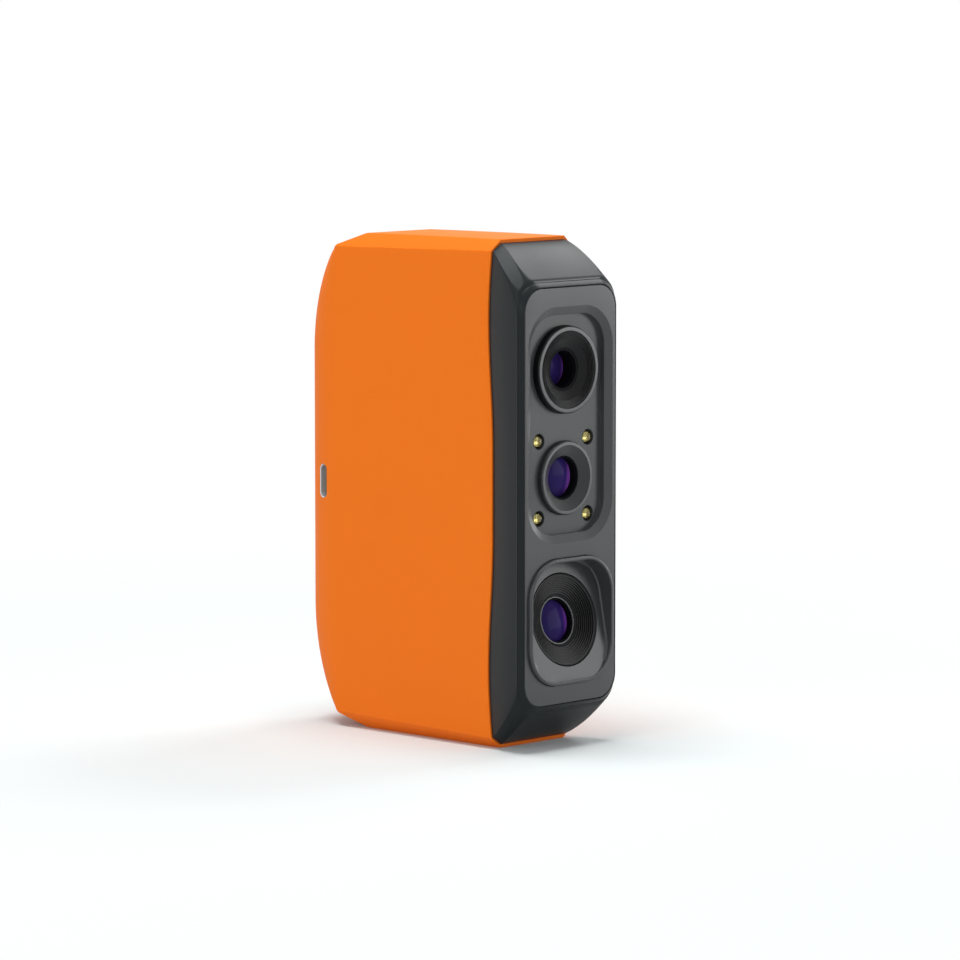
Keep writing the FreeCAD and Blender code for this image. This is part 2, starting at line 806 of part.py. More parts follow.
def front_bezel():
    """The flared bezel, its skirt inside the sleeve's mouth and its screw posts."""
    side_inset = float(size.bezel_side_inset)
    roof_inset = float(size.bezel_roof_inset)
    wall = float(size.bezel_wall)
    depth = float(size.bezel_depth)
    wave = float(size.seam_wave)
    flare = bezel_form(side_inset, roof_inset, 0, 0, -depth)
    half_height = float(size.body_height) / 2
    cuts = (float(size.chamfer_width), float(size.chamfer_height))
    collar = Part.Face(
        octagon(float(size.body_width) / 2 - side_inset, roof_inset,
                2 * half_height - roof_inset, *cuts, 0)
    ).extrude(Vector(0, 2 * wave, 0))
    outside = flare.fuse(collar).cut(behind_seam())
    flange_back = depth - float(size.plate_rim - size.plate_proud) - float(size.tape_thickness)
    flange_back -= float(size.flange_thickness)
    hollow = bezel_form(side_inset + wall, roof_inset + wall, wall, 0, -depth)
    keep = Part.makeBox(
        4 * depth + float(bezel_front_width), flange_back + 4 * wave,
        2 * half_height, Vector(-2 * depth - float(bezel_front_width) / 2, -flange_back, 0),
    )
    mouth = Part.Face(
        octagon(float(size.body_width) / 2 - side_inset - wall, roof_inset + wall,
                2 * half_height - roof_inset - wall, *cuts, 0)
    ).extrude(Vector(0, 4 * wave, 0))
    shell = outside.cut(hollow.fuse(mouth).common(keep))
    gap = float(size.skirt_gap) + float(size.sleeve_wall)
    skirt_end = float(size.skirt_depth)
    skirt = ring_between(gap, gap + float(size.skirt_wall), -wave, skirt_end)
    groove_start = float(size.gasket_place)
    groove_end = groove_start + float(size.gasket_size)
    gasket_inner = float(size.sleeve_wall) + float(size.gasket_size)
    groove = ring_between(gap / 2, gasket_inner, groove_start, groove_end)
    skirted = shell.fuse(skirt).cut(groove)
    pieces = [built("bezel_shell", skirted, y=seam_y)]
    post_length = skirt_end_y - flange_back_y
    bench_post_length = bench_y - flange_back_y
    for index, (x, z) in enumerate(sleeve_post_places):
        pieces.append(rod(f"bezel_post{index}", size.post_radius, post_length,
                          x, flange_back_y, z, **ALONG_Y))
    for index, (x, z) in enumerate(bench_post_places):
        pieces.append(rod(f"bench_post{index}", size.post_radius, bench_post_length,
                          x, flange_back_y, z, **ALONG_Y))
    gap_width = size.plate_gap * 2
    tools = [
        slab("plate_pocket", plate_width + gap_width, plate_height + gap_width,
             size.bezel_depth, size.plate_corner + size.plate_gap,
             flange_y - size.bezel_depth, middle_z),
        slab("flange_opening", flange_opening_width, flange_opening_height,
             size.flange_thickness * 2, size.plate_corner, flange_y - size.flange_thickness,
             middle_z),
    ]
    for index, (x, z) in enumerate(sleeve_post_places):
        tools.append(rod(f"bezel_hole{index}", size.screw_radius + size.screw_gap,
                         size.bezel_depth * 3, x, flange_y, z, **ALONG_Y))
        tools.append(rod(f"bezel_counterbore{index}", size.screw_head_radius + size.screw_gap,
                         size.screw_head_length, x, flange_y, z, **ALONG_Y))
    for index, (x, z) in enumerate(bench_post_places):
        tools.append(rod(f"bench_pilot{index}", size.screw_radius + size.screw_gap,
                         size.bench_start, x, bench_y - size.bench_start, z, **ALONG_Y))
    node(cut("bezel_finished", fused("bezel_whole", pieces), tools), "front_bezel")
    gasket = ring_between(float(size.sleeve_wall), gasket_inner, groove_start, groove_end)
    node(built("gasket_ring", gasket, y=seam_y), "seam_gasket")


def face_plate():
    """The front plate with its upper recess, the lower opening and the light holes."""
    plate = slab("plate_body", plate_width, plate_height, size.plate_rim,
                 size.plate_corner, plate_y, middle_z, edge_round=size.plate_edge_round)
    inner_width = recess_width - size.recess_slope_width * 2
    inner_height = size.recess_height - size.recess_slope_width * 2
    inner_corner = size.recess_corner - size.recess_slope_width
    tray = slab("plate_tray", inner_width + size.recess_floor * 2,
                inner_height + size.recess_floor * 2, recess_back_y - plate_y,
                inner_corner + size.recess_floor, plate_y, recess_z)
    slope = slab("recess_slope", recess_width, size.recess_height,
                 size.recess_slope_depth * 3, size.recess_corner,
                 plate_y - size.recess_slope_depth * 2, recess_z,
                 back_bevel=(size.recess_slope_width, size.recess_slope_depth))
    well = slab("recess_well", inner_width, inner_height, size.recess_depth, inner_corner,
                plate_y, recess_z)
    tools = [slope, well]
    tools.append(rod("projector_hole", size.projector_ring_radius, size.recess_depth * 2,
                     0, recess_floor_y - size.recess_slope_depth, projector_z,
                     **ALONG_Y))
    tools.append(rod("colour_hole", size.colour_ring_radius, size.recess_depth * 2,
                     0, recess_floor_y - size.recess_slope_depth, colour_z,
                     **ALONG_Y))
    for index, (x, z) in enumerate(light_places):
        tools.append(rod(f"light_hole{index}", size.light_hole_radius, size.recess_depth * 2,
                         x, recess_floor_y - size.recess_slope_depth, z, **ALONG_Y))
    tools.append(slab("hood_opening", hood_width, size.hood_height, size.plate_rim * 2,
                      size.hood_corner, plate_y - size.plate_rim / 2, hood_z))
    node(cut("plate_finished", fused("plate_whole", [plate, tray]), tools), "face_plate")


def plate_tape():
    """The thin adhesive frame that holds the face plate on the bezel's flange."""
    frame = slab("tape_body", plate_width, plate_height, size.tape_thickness,
                 size.plate_corner, plate_back_y, middle_z)
    opening = slab("tape_opening", flange_opening_width + size.plate_gap * 4,
                   flange_opening_height + size.plate_gap * 4, size.plate_rim,
                   size.plate_corner, plate_back_y - size.tape_thickness, middle_z)
    tools = [opening]
    for index, (x, z) in enumerate(sleeve_post_places):
        tools.append(rod(f"tape_hole{index}", size.screw_head_radius + size.plate_gap,
                         size.plate_rim, x, plate_back_y - size.tape_thickness, z, **ALONG_Y))
    node(cut("tape_finished", frame, tools), "plate_tape")


# The optical units. Each ring, barrel and lens is turned about its unit's own axis.

def funnel(wide, narrow, deep, stepped):
    """The corners of a ring's mouth, from its wide front edge to its throat."""
    count = int(float(size.glare_step_count)) if stepped else 1
    ledge = float(size.glare_step_share) if stepped else 1
    points = []
    for index in range(count):
        radius = wide - (wide - narrow) * (index / count)
        inner = wide - (wide - narrow) * ((index + 1) / count)
        front = deep * (index / count)
        points.append((radius, front))
        points.append((inner, front + deep * (ledge / count)))
    if stepped:
        points.append((narrow, deep))
    return points


def ring(label, outer, wide, narrow, deep, barrel, flange_place, stepped, **seat):
    """The ring round a lens: a funnel in front, a flange behind the plate, a bore for the barrel."""
    throat_end = deep + size.barrel_lip
    back = flange_place + size.ring_flange_thickness
    points = [(outer, 0)] + funnel(wide, narrow, deep, stepped)
    points += [
        (narrow, throat_end),
        (barrel + size.fit_gap, throat_end),
        (barrel + size.fit_gap, back),
        (outer + size.ring_flange, back),
        (outer + size.ring_flange, flange_place),
        (outer, flange_place),
    ]
    return node(turned(label + "_body", points, **seat), label)


def barrel(label, radius, glass, start, end, glass_place, flange=None, **seat):
    """A lens tube: a front bore, a seat for the glass and a narrower bore behind it."""
    glass_end = glass_place + size.glass_thickness
    bore = glass - size.barrel_shoulder
    points = [(glass + size.fit_gap, start), (radius, start)]
    if flange is not None:
        flange_radius, flange_start, flange_end = flange
        points += [
            (radius, flange_start),
            (flange_radius, flange_start),
            (flange_radius, flange_end),
            (radius, flange_end),
        ]
    points += [(radius, end), (bore, end), (bore, glass_end), (glass + size.fit_gap, glass_end)]
    return node(turned(label + "_body", points, **seat), label)


def lens(label, radius, start, crown_height, **seat):
    """A round glass with a domed front, its rim resting on the barrel's shoulder."""
    bulge = float(crown_height)
    front = float(length(start))
    back = front + float(size.glass_thickness)
    half = float(radius)
    crown = Vector(0, front, 0)
    rim = Vector(half, front + bulge, 0)
    curve = (half * half + bulge * bulge) / (2 * bulge)
    half_turn = math.asin(half / curve) / 2
    halfway = Vector(curve * math.sin(half_turn), front + curve * (1 - math.cos(half_turn)), 0)
    edges = [Part.Arc(crown, halfway, rim).toShape()]
    corners = [rim, Vector(half, back, 0), Vector(0, back, 0), crown]
    for first, last in zip(corners, corners[1:]):
        edges.append(Part.LineSegment(first, last).toShape())
    face = Part.Face(Part.Wire(edges))
    solid = face.revolve(Vector(0, 0, 0), Vector(0, 1, 0), 360)
    feature = document.addObject("Part::Feature", label + "_body")
    feature.Shape = solid
    return node(place(feature, **seat), label)


def holder(label, bore, start, end, barrel_end, **seat):
    """The square block that carries a camera's barrel in front of its sensor."""
    base = middle_block(label + "_base", size.holder_size, end - start, size.holder_size, start, 0)
    tools = [
        rod(label + "_bore", bore + size.fit_gap, barrel_end - start, 0, start, 0, **ALONG_Y),
        rod(label + "_room", bore - size.holder_shoulder, end - start, 0, start, 0, **ALONG_Y),
    ]
    return node(place(cut(label + "_body", base, tools), **seat), label)


def square(label, width, thickness, start, **seat):
    """A flat square piece of a unit, such as a board or a sensor."""
    base = middle_block(label + "_plate", width, thickness, width, start, 0)
    return node(place(group(label + "_body", [base]), **seat), label)


def projector():
    """The pattern projector at the top, with its light engine behind the bench."""
    seat = {"y": projector_front_y, "z": projector_z}
    flange_place = recess_back_y - projector_front_y
    ring("projector_ring", size.projector_ring_radius, size.projector_cone_radius,
         size.projector_aperture_radius, size.projector_cone_depth,
         size.projector_barrel_radius, flange_place, True, **seat)
    start = size.projector_cone_depth + size.barrel_lip
    bulkhead = bench_y - projector_front_y
    end = bulkhead + size.bulkhead_thickness + size.engine_mouth_depth
    glass_place = start + size.projector_glass_depth
    flange = (size.projector_barrel_radius + size.bulkhead_thickness,
              bulkhead - size.rail_thickness, bulkhead)
    barrel("projector_barrel", size.projector_barrel_radius, size.projector_glass_radius,
           start, end, glass_place, flange, **seat)
    lens("projector_front_lens", size.projector_glass_radius, glass_place,
         size.projector_glass_bulge, **seat)
    engine_start = bulkhead + size.bulkhead_thickness
    engine = middle_block("engine_base", size.projector_engine_width,
                          size.projector_engine_length, size.projector_engine_width,
                          engine_start, 0)
    tools = [
        rod("engine_bore", size.projector_engine_bore, size.projector_engine_length,
            0, engine_start, 0, **ALONG_Y),
        rod("engine_mouth", size.projector_barrel_radius + size.fit_gap,
            size.engine_mouth_depth, 0, engine_start, 0, **ALONG_Y),
    ]
    node(place(cut("engine_body", engine, tools), **seat), "projector_housing")
    inner = size.projector_engine_bore - size.fit_gap
    mask_start = end + size.slide_place
    mask = rod("mask_disc", inner, size.slide_thickness, 0, mask_start, 0, **ALONG_Y)
    node(place(group("mask_body", [mask]), **seat), "pattern_slide")
    lens("condenser_lens", inner, mask_start + size.condenser_place,
         size.condenser_bulge, **seat)
    board_start = engine_start + size.projector_engine_length
    emitter = middle_block("emitter_chip", size.emitter_size, size.emitter_thickness,
                           size.emitter_size, board_start - size.emitter_thickness, 0)
    node(place(group("emitter_body", [emitter]), **seat), "projector_emitter")
    board = middle_block("emitter_plate", size.projector_engine_width,
                         size.sensor_board_thickness, size.projector_board_height,
                         board_start, 0)
    node(place(group("emitter_board_body", [board]), **seat), "projector_board")
    sink_start = board_start + size.sensor_board_thickness
    parts = [middle_block("sink_base", size.projector_engine_width, size.heatsink_base,
                          size.projector_engine_width, sink_start, 0)]
    count = int(float(size.fin_count))
    pitch = (size.projector_engine_width - size.fin_thickness) / (count - 1)
    for index in range(count):
        parts.append(block(f"sink_fin{index}", size.fin_thickness, size.heatsink_length,
                           size.projector_engine_width,
                           pitch * index - size.projector_engine_width / 2, sink_start,
                           -(size.projector_engine_width / 2)))
    node(place(fused("sink_body", parts), **seat), "projector_heatsink")


def colour_camera():
    """The colour camera and its four fill lights, which share the upper recess."""
    seat = {"y": colour_front_y, "z": colour_z}
    flange_place = recess_back_y - colour_front_y
    ring("colour_ring", size.colour_ring_radius, size.colour_cone_radius,
         size.colour_aperture_radius, size.colour_cone_depth,
         size.colour_barrel_radius, flange_place, False, **seat)
    start = size.colour_cone_depth + size.barrel_lip
    board_start = bench_y - colour_front_y - size.sensor_board_thickness
    barrel_end = board_start - size.colour_barrel_to_board
    glass_place = start + size.glass_thickness
    barrel("colour_barrel", size.colour_barrel_radius, size.colour_glass_radius,
           start, barrel_end, glass_place, **seat)
    lens("colour_lens", size.colour_glass_radius, glass_place, size.colour_glass_bulge, **seat)
    holder("colour_holder", size.colour_barrel_radius, barrel_end - size.holder_grip,
           board_start, barrel_end, **seat)
    square("colour_sensor", size.sensor_size, size.sensor_thickness,
           board_start - size.sensor_thickness, **seat)
    square("colour_board", size.sensor_board_size, size.sensor_board_thickness,
           board_start, **seat)
    lights = []
    stem = recess_back_y - recess_floor_y - size.light_radius + size.light_proud
    for index, (x, z) in enumerate(light_places):
        dome = document.addObject("Part::Sphere", f"light_dome{index}")
        bind(dome, Radius=size.light_radius)
        place(dome, x, recess_back_y - stem, z)
        body = rod(f"light_body{index}", size.light_radius, stem, x,
                   recess_back_y - stem, z, **ALONG_Y)
        tail = rod(f"light_tail{index}", size.light_radius * 2, size.light_radius * 2,
                   x, recess_back_y, z, **ALONG_Y)
        lights.append(cut(f"light{index}", fused(f"light_whole{index}", [dome, body]), [tail]))
    node(group("fill_lights_group", lights), "fill_lights")
    board = middle_block("light_plate", size.light_spread_width + size.light_board_margin * 2,
                         size.light_board_thickness,
                         size.light_spread_height + size.light_board_margin * 2,
                         recess_back_y, colour_z)
    opening = rod("light_plate_hole", size.colour_ring_radius + size.ring_flange + size.fit_gap,
                  size.light_board_thickness * 3, 0, recess_back_y - size.light_board_thickness,
                  colour_z, **ALONG_Y)
    node(cut("light_board_body", board, [opening]), "fill_light_board")


def depth_camera():
    """The depth camera, tilted up, in the hood that stands out of the plate's lower part."""
    neck_height = size.hood_height - (hood_width - hood_neck_width)
    collar = slab("hood_collar", hood_width - size.fit_gap * 2,
                  size.hood_height - size.fit_gap * 2, size.hood_proud + size.plate_rim,
                  size.hood_corner, hood_y, hood_z)
    neck = slab("hood_neck", hood_neck_width, neck_height, size.hood_neck_depth,
                size.hood_corner, hood_y, hood_z)
    pocket_width = hood_width - size.hood_rim * 2
    pocket_height = size.hood_height - size.hood_rim * 2
    mouth = slab("hood_mouth", pocket_width, pocket_height, size.hood_neck_depth,
                 size.hood_corner - size.hood_rim, hood_y - size.hood_proud, hood_z)
    floor = block("hood_floor", hood_width * 2, hood_width, hood_width * 2,
                  -hood_width, -hood_width, -hood_width)
    tilted = {"y": depth_y, "z": depth_z, "axis": Vector(1, 0, 0), "angle": depth_tilt}
    room = place(group("hood_room", [floor]), **tilted)
    bore = rod("hood_bore", size.depth_cone_radius + size.ring_flange / 2 + size.fit_gap,
               size.hood_neck_depth * 2, 0, -size.hood_neck_depth, 0, **ALONG_Y)
    through = place(group("hood_through", [bore]), **tilted)
    tools = [shared("hood_pocket", [mouth, room]), through]
    node(cut("hood_body", fused("hood_whole", [collar, neck]), tools), "lens_hood")
    wide = size.depth_cone_radius
    narrow = size.depth_aperture_radius
    outer = wide + size.ring_flange / 2
    deep = size.depth_cone_depth
    back = deep + size.barrel_lip + size.ring_flange_thickness
    points = [(outer, 0)] + funnel(wide, narrow, deep, True)
    points += [
        (narrow, deep + size.barrel_lip),
        (size.depth_barrel_radius + size.fit_gap, deep + size.barrel_lip),
        (size.depth_barrel_radius + size.fit_gap, back),
        (outer, back),
    ]
    node(turned("depth_ring_body", points, **tilted), "depth_ring")
    start = deep + size.barrel_lip
    glass_place = start + size.depth_glass_place
    board_start = size.depth_board_depth
    barrel_end = board_start - size.depth_barrel_to_board
    barrel("depth_barrel", size.depth_barrel_radius, size.depth_glass_radius,
           start, barrel_end, glass_place, **tilted)
    lens("depth_lens", size.depth_glass_radius, glass_place, size.depth_glass_bulge, **tilted)
    holder("depth_holder", size.depth_barrel_radius, barrel_end - size.holder_grip,
           board_start, barrel_end, **tilted)
    square("depth_sensor", size.sensor_size, size.sensor_thickness,
           board_start - size.sensor_thickness, **tilted)
    square("depth_board", size.sensor_board_size, size.sensor_board_thickness,
           board_start, **tilted)
    wedge = middle_block("wedge_block", size.sensor_board_size, size.depth_board_depth,
                         size.sensor_board_size, bench_y - size.depth_board_depth,
                         depth_z - size.wedge_drop)
    front = block("wedge_front", hood_width * 2, hood_width * 2,
                  hood_width * 2, -hood_width, board_start
                  + size.sensor_board_thickness - hood_width * 2, -hood_width)
    slope = place(group("wedge_slope", [front]), **tilted)
    node(cut("wedge_body", wedge, [slope]), "depth_wedge")


# The bench, the main board and what they carry.

def optical_bench():
    """The bulkhead behind the bezel, its two rails and the lugs that hold the main board."""
    tab_width = size.bench_post_spread + size.post_radius * 2
    tab_height = post_height_spread + size.post_radius * 2
    rail_length = board_y - bench_back_y
    parts = [
        middle_block("bulkhead", bench_width, size.bulkhead_thickness, bench_height,
                     bench_y, middle_z),
        middle_block("bulkhead_tabs", tab_width, size.bulkhead_thickness, tab_height,
                     bench_y, middle_z),
    ]
    tools = []
    rail_low = middle_z - rail_height / 2
    rail_high = middle_z + rail_height / 2
    for side, left_x in ((-1, -(bench_width / 2)),
                         (1, bench_width / 2 - size.rail_thickness)):
        parts.append(block(f"rail{side}", size.rail_thickness, rail_length + size.rail_thickness,
                           rail_height, left_x, bench_back_y - size.rail_thickness,
                           rail_low))
        margin = size.rail_window_margin
        tools.append(block(f"rail_window{side}", size.rail_thickness * 3,
                           rail_length - margin * 2, rail_height - margin * 2,
                           left_x - size.rail_thickness, bench_back_y + margin,
                           rail_low + margin))
        lug_x = -(bench_width / 2) if side < 0 else bench_width / 2 - size.lug_width
        for low in (rail_low, rail_high - size.lug_height):
            parts.append(block(f"lug{side}", size.lug_width, size.lug_length, size.lug_height,
                               lug_x, board_y - size.lug_length, low))
    for index, (x, z) in enumerate(lug_places()):
        tools.append(rod(f"lug_hole{index}", size.screw_radius + size.screw_gap,
                         size.lug_length, x, board_y - size.lug_length, z, **ALONG_Y))
    for index, (x, z) in enumerate(bench_post_places):
        tools.append(rod(f"bench_hole{index}", size.screw_radius + size.screw_gap,
                         size.bulkhead_thickness, x, bench_y, z, **ALONG_Y))
    tools.append(rod("bench_projector_hole", size.projector_barrel_radius + size.fit_gap,
                     size.bulkhead_thickness, 0, bench_y, projector_z, **ALONG_Y))
    for name, z in (("colour", colour_slot_z), ("depth", depth_slot_z)):
        tools.append(middle_block(f"{name}_slot", size.ribbon_width + size.ribbon_slot_room * 2,
                                  size.bulkhead_thickness, size.connector_height, bench_y, z))
    node(cut("bench_body", fused("bench_whole", parts), tools), "optical_bench")


def lug_places():
    """The four screws that hold the main board to the bench's lugs."""
    x = bench_width / 2 - size.lug_width + size.screw_head_radius
    reach = rail_height / 2 - size.lug_height / 2
    return [(x * side, middle_z + reach * way) for side in (-1, 1) for way in (-1, 1)]


def main_board():
    """The main board with its chips, connectors, thermal pad and heat spreader."""
    board = middle_block("board_plate", board_width, size.board_thickness,
                         board_height, board_y, middle_z)
    holes = [
        rod(f"board_hole{index}", size.screw_radius + size.screw_gap, size.board_thickness,
            x, board_y, z, **ALONG_Y)
        for index, (x, z) in enumerate(lug_places())
    ]
    node(cut("board_body", board, holes), "main_board")
    chip_y = board_y - size.chip_thickness
    node(middle_block("chip", size.chip_size, size.chip_thickness, size.chip_size,
                      chip_y, middle_z), "processor")
    pad_y = chip_y - size.pad_thickness
    node(middle_block("pad", size.chip_size, size.pad_thickness, size.chip_size,
                      pad_y, middle_z), "thermal_pad")
    spreader_y = pad_y - size.spreader_thickness
    fins = [middle_block("spreader_base", size.spreader_width, size.spreader_thickness,
                         size.spreader_height, spreader_y, middle_z)]
    count = int(float(size.fin_count))
    pitch = (size.spreader_width - size.fin_thickness) / (count - 1)
    for index in range(count):
        fins.append(block(f"spreader_fin{index}", size.fin_thickness,
                          size.spreader_thickness + size.spreader_fin_length,
                          size.spreader_height,
                          pitch * index - size.spreader_width / 2,
                          spreader_y - size.spreader_fin_length,
                          middle_z - size.spreader_height / 2))
    node(fused("spreader_body", fins), "heat_spreader")
    reach = size.chip_size / 2 + size.memory_height
    memories = [
        middle_block(f"memory{way}", size.memory_width, size.memory_thickness,
                     size.memory_height, board_y - size.memory_thickness,
                     middle_z + reach * way)
        for way in (-1, 1)
    ]
    node(group("memory_group", memories), "memory_chips")
    connectors = [
        middle_block(f"connector{index}", size.connector_width, size.connector_thickness,
                     size.connector_height, board_y - size.connector_thickness, z)
        for index, z in enumerate(connector_heights)
    ]
    node(group("connector_group", connectors), "board_connectors")


def ribbon(label, route):
    """A flat flexible cable that follows a route of Y and Z places, centred on X."""
    half = float(size.ribbon_thickness) / 2
    width = float(size.ribbon_width)
    path = Part.makePolygon([Vector(-width / 2, float(y), float(z)) for y, z in route])
    face = Part.Face(path.makeOffset2D(half, 2, False, False))
    node(built(label + "_body", face.extrude(Vector(width, 0, 0))), label)


def ribbons():
    """The three flat cables from the optical units back to the main board."""
    half = size.ribbon_thickness / 2
    plug_y = board_y - size.connector_thickness - half
    sink_z = projector_z - size.projector_board_height / 2
    emitter_back = (bench_back_y + size.projector_engine_length
                    + size.sensor_board_thickness + half)
    turn_y = plug_y - size.chip_size
    low_z, middle_connector_z, high_z = connector_heights
    ribbon("projector_ribbon", [
        (emitter_back, sink_z + size.connector_thickness / 2),
        (emitter_back, sink_z - size.connector_thickness),
        (turn_y, sink_z - size.connector_thickness),
        (plug_y - size.connector_thickness, high_z),
        (plug_y, high_z),
    ])
    ribbon("colour_ribbon", [
        (bench_y + half, colour_slot_z),
        (turn_y, colour_slot_z),
        (turn_y, middle_connector_z),
        (plug_y, middle_connector_z),
    ])
    early_turn_y = turn_y - size.connector_height
    ribbon("depth_ribbon", [
        (bench_y + half, depth_slot_z),
        (early_turn_y, depth_slot_z),
        (early_turn_y, low_z),
        (plug_y, low_z),
    ])


def usb_port():
    """The port's steel shell, which opens through the nose's left side, and its tongue."""
    wall = size.usb_shell_wall
    outside = usb_form("usb_outside", 0, usb_inner_x, size.usb_depth)
    inside = usb_form("usb_inside", -wall, usb_inner_x - size.usb_back_wall, size.usb_depth)
    node(cut("usb_shell_body", outside, [inside]), "usb_shell")
    centre_y = board_back_y + size.usb_thickness / 2
    reach = size.usb_depth - size.usb_back_wall - size.usb_tongue_recess
    node(block("usb_tongue_body", reach, size.usb_tongue_thickness,
               size.usb_tongue_width, usb_inner_x - size.usb_back_wall - reach,
               centre_y - size.usb_tongue_thickness / 2,
               usb_z - size.usb_tongue_width / 2), "usb_tongue")


def scan_button():
    """The rear button, the switch on the main board behind it and the switch's plunger."""
    stem_y = rear_y - size.button_flange_depth
    flange_y_place = stem_y - size.button_flange_thickness
    stem = shared("button_stem", [
        pill("button_pill", 0, flange_y_place),
        built("button_skin", sleeve_form(-float(size.button_proud), 0), y=seam_y),
    ])
    flange = shared("button_flange", [
        pill("button_flange_pill", size.button_flange, flange_y_place),
        middle_block("button_flange_depth", size.button_length * 2,
                     size.button_flange_thickness, size.button_length * 2,
                     flange_y_place, button_z),
    ])
    node(fused("button_body", [stem, flange]), "scan_button")
    switch_top = board_back_y + size.switch_height
    base = middle_block("switch_base", size.switch_size, size.switch_height, size.switch_size,
                        board_back_y, button_z)
    well = rod("switch_well", size.plunger_radius + size.plunger_gap, size.plunger_seat,
               0, switch_top - size.plunger_seat, button_z, **ALONG_Y)
    node(cut("switch_body", base, [well]), "button_switch")
    plunger_start = switch_top - size.plunger_seat + size.button_travel + size.plunger_gap
    node(rod("plunger_body", size.plunger_radius, flange_y_place - plunger_start,
             0, plunger_start, button_z, **ALONG_Y), "switch_plunger")


def status_light():
    """The status light on the main board and the clear pipe that leads it to the nose."""
    node(middle_block("status_chip", size.status_led_size, size.status_led_thickness,
                      size.status_led_size, board_back_y, status_z), "status_led")
    start = board_back_y + size.status_led_thickness
    pipe = shared("pipe_body", [
        rod("pipe_rod", size.status_radius, size.sleeve_depth, 0, start, status_z,
            **ALONG_Y),
        built("pipe_skin", sleeve_form(0, 0), y=seam_y),
    ])
    node(pipe, "light_pipe")


def screws():
    """The screws: bezel to sleeve, bench to bezel and main board to bench."""
    reach = skirt_end_y - flange_y - size.screw_head_length
    reach += size.sleeve_post_length - size.screw_end_room
    node(group("bezel_screw_group", [
        cap_screw(f"bezel_screw{index}", x, flange_y, z, reach, False)
        for index, (x, z) in enumerate(sleeve_post_places)
    ]), "bezel_screws")
    reach = size.bulkhead_thickness + size.bench_start - size.screw_end_room
    node(group("bench_screw_group", [
        cap_screw(f"bench_screw{index}", x, bench_back_y + size.screw_head_length, z, reach, True)
        for index, (x, z) in enumerate(bench_post_places)
    ]), "bench_screws")
    reach = size.board_thickness + size.lug_length - size.screw_end_room
    node(group("board_screw_group", [
        cap_screw(f"board_screw{index}", x, board_back_y + size.screw_head_length, z, reach, True)
        for index, (x, z) in enumerate(lug_places())
    ]), "board_screws")


connector_heights = [
    middle_z - size.spreader_height / 2 - size.connector_pitch * 2,
    middle_z - size.spreader_height / 2 - size.connector_pitch,
    middle_z + size.spreader_height / 2 + size.connector_pitch,
]
colour_slot_z = colour_z - size.sensor_board_size / 2 + size.connector_height / 2
depth_slot_z = hood_z + size.hood_height / 2 - size.connector_height

housing_sleeve()
tripod_insert()
front_bezel()
face_plate()
plate_tape()
projector()
colour_camera()
depth_camera()
optical_bench()
main_board()
ribbons()
usb_port()
scan_button()
status_light()
screws()

document.recompute()
failed = [
    thing.Label for thing in document.Objects if "Invalid" in thing.State or "Error" in thing.State
]
if failed:
    raise RuntimeError(f"failed: {failed}")
os.makedirs("parts", exist_ok=True)
for thing in nodes:
    if thing.Shape.isNull() or not thing.Shape.isValid():
        raise RuntimeError(f"{thing.Label} has no valid shape")
    thing.Shape.exportStep(f"parts/{thing.Label}.step")
print(len(nodes), "nodes")
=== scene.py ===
import json
import math

import bmesh
import bpy
from mathutils import Matrix, Vector


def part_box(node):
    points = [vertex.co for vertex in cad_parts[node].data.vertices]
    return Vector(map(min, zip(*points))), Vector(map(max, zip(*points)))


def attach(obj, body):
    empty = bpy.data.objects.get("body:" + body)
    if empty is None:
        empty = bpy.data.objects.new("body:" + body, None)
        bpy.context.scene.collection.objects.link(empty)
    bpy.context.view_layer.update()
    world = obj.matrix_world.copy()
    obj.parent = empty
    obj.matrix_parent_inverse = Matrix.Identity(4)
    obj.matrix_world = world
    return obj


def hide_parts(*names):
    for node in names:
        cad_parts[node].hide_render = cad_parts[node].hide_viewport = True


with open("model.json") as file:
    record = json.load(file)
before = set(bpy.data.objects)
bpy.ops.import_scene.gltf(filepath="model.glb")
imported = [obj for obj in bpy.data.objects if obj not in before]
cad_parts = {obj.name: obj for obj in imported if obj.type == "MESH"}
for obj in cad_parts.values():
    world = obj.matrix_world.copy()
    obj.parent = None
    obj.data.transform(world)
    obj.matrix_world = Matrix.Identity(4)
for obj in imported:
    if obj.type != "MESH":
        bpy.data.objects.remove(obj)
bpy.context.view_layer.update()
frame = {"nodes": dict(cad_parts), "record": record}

# A slim handheld 3-D scanner standing on its base. The CAD pieces give the places; the outer
# shells, lenses and controls are modelled here as finer meshes round them.
# Shapes are worked out in millimetres in the frame's own axes and turned to metres when made.
# Z is up, the lenses face -Y, and the side with the port faces -X.

MM = 0.001
BODY = "scanner_body"
BUTTON = "button"


# ---------------------------------------------------------------- sizes, read from the frame

def low(node):
    """The lowest corner of a CAD node, in millimetres."""
    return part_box(node)[0] / MM


def high(node):
    """The highest corner of a CAD node, in millimetres."""
    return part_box(node)[1] / MM


def middle(node):
    """The centre of a CAD node's box, in millimetres."""
    return (low(node) + high(node)) / 2


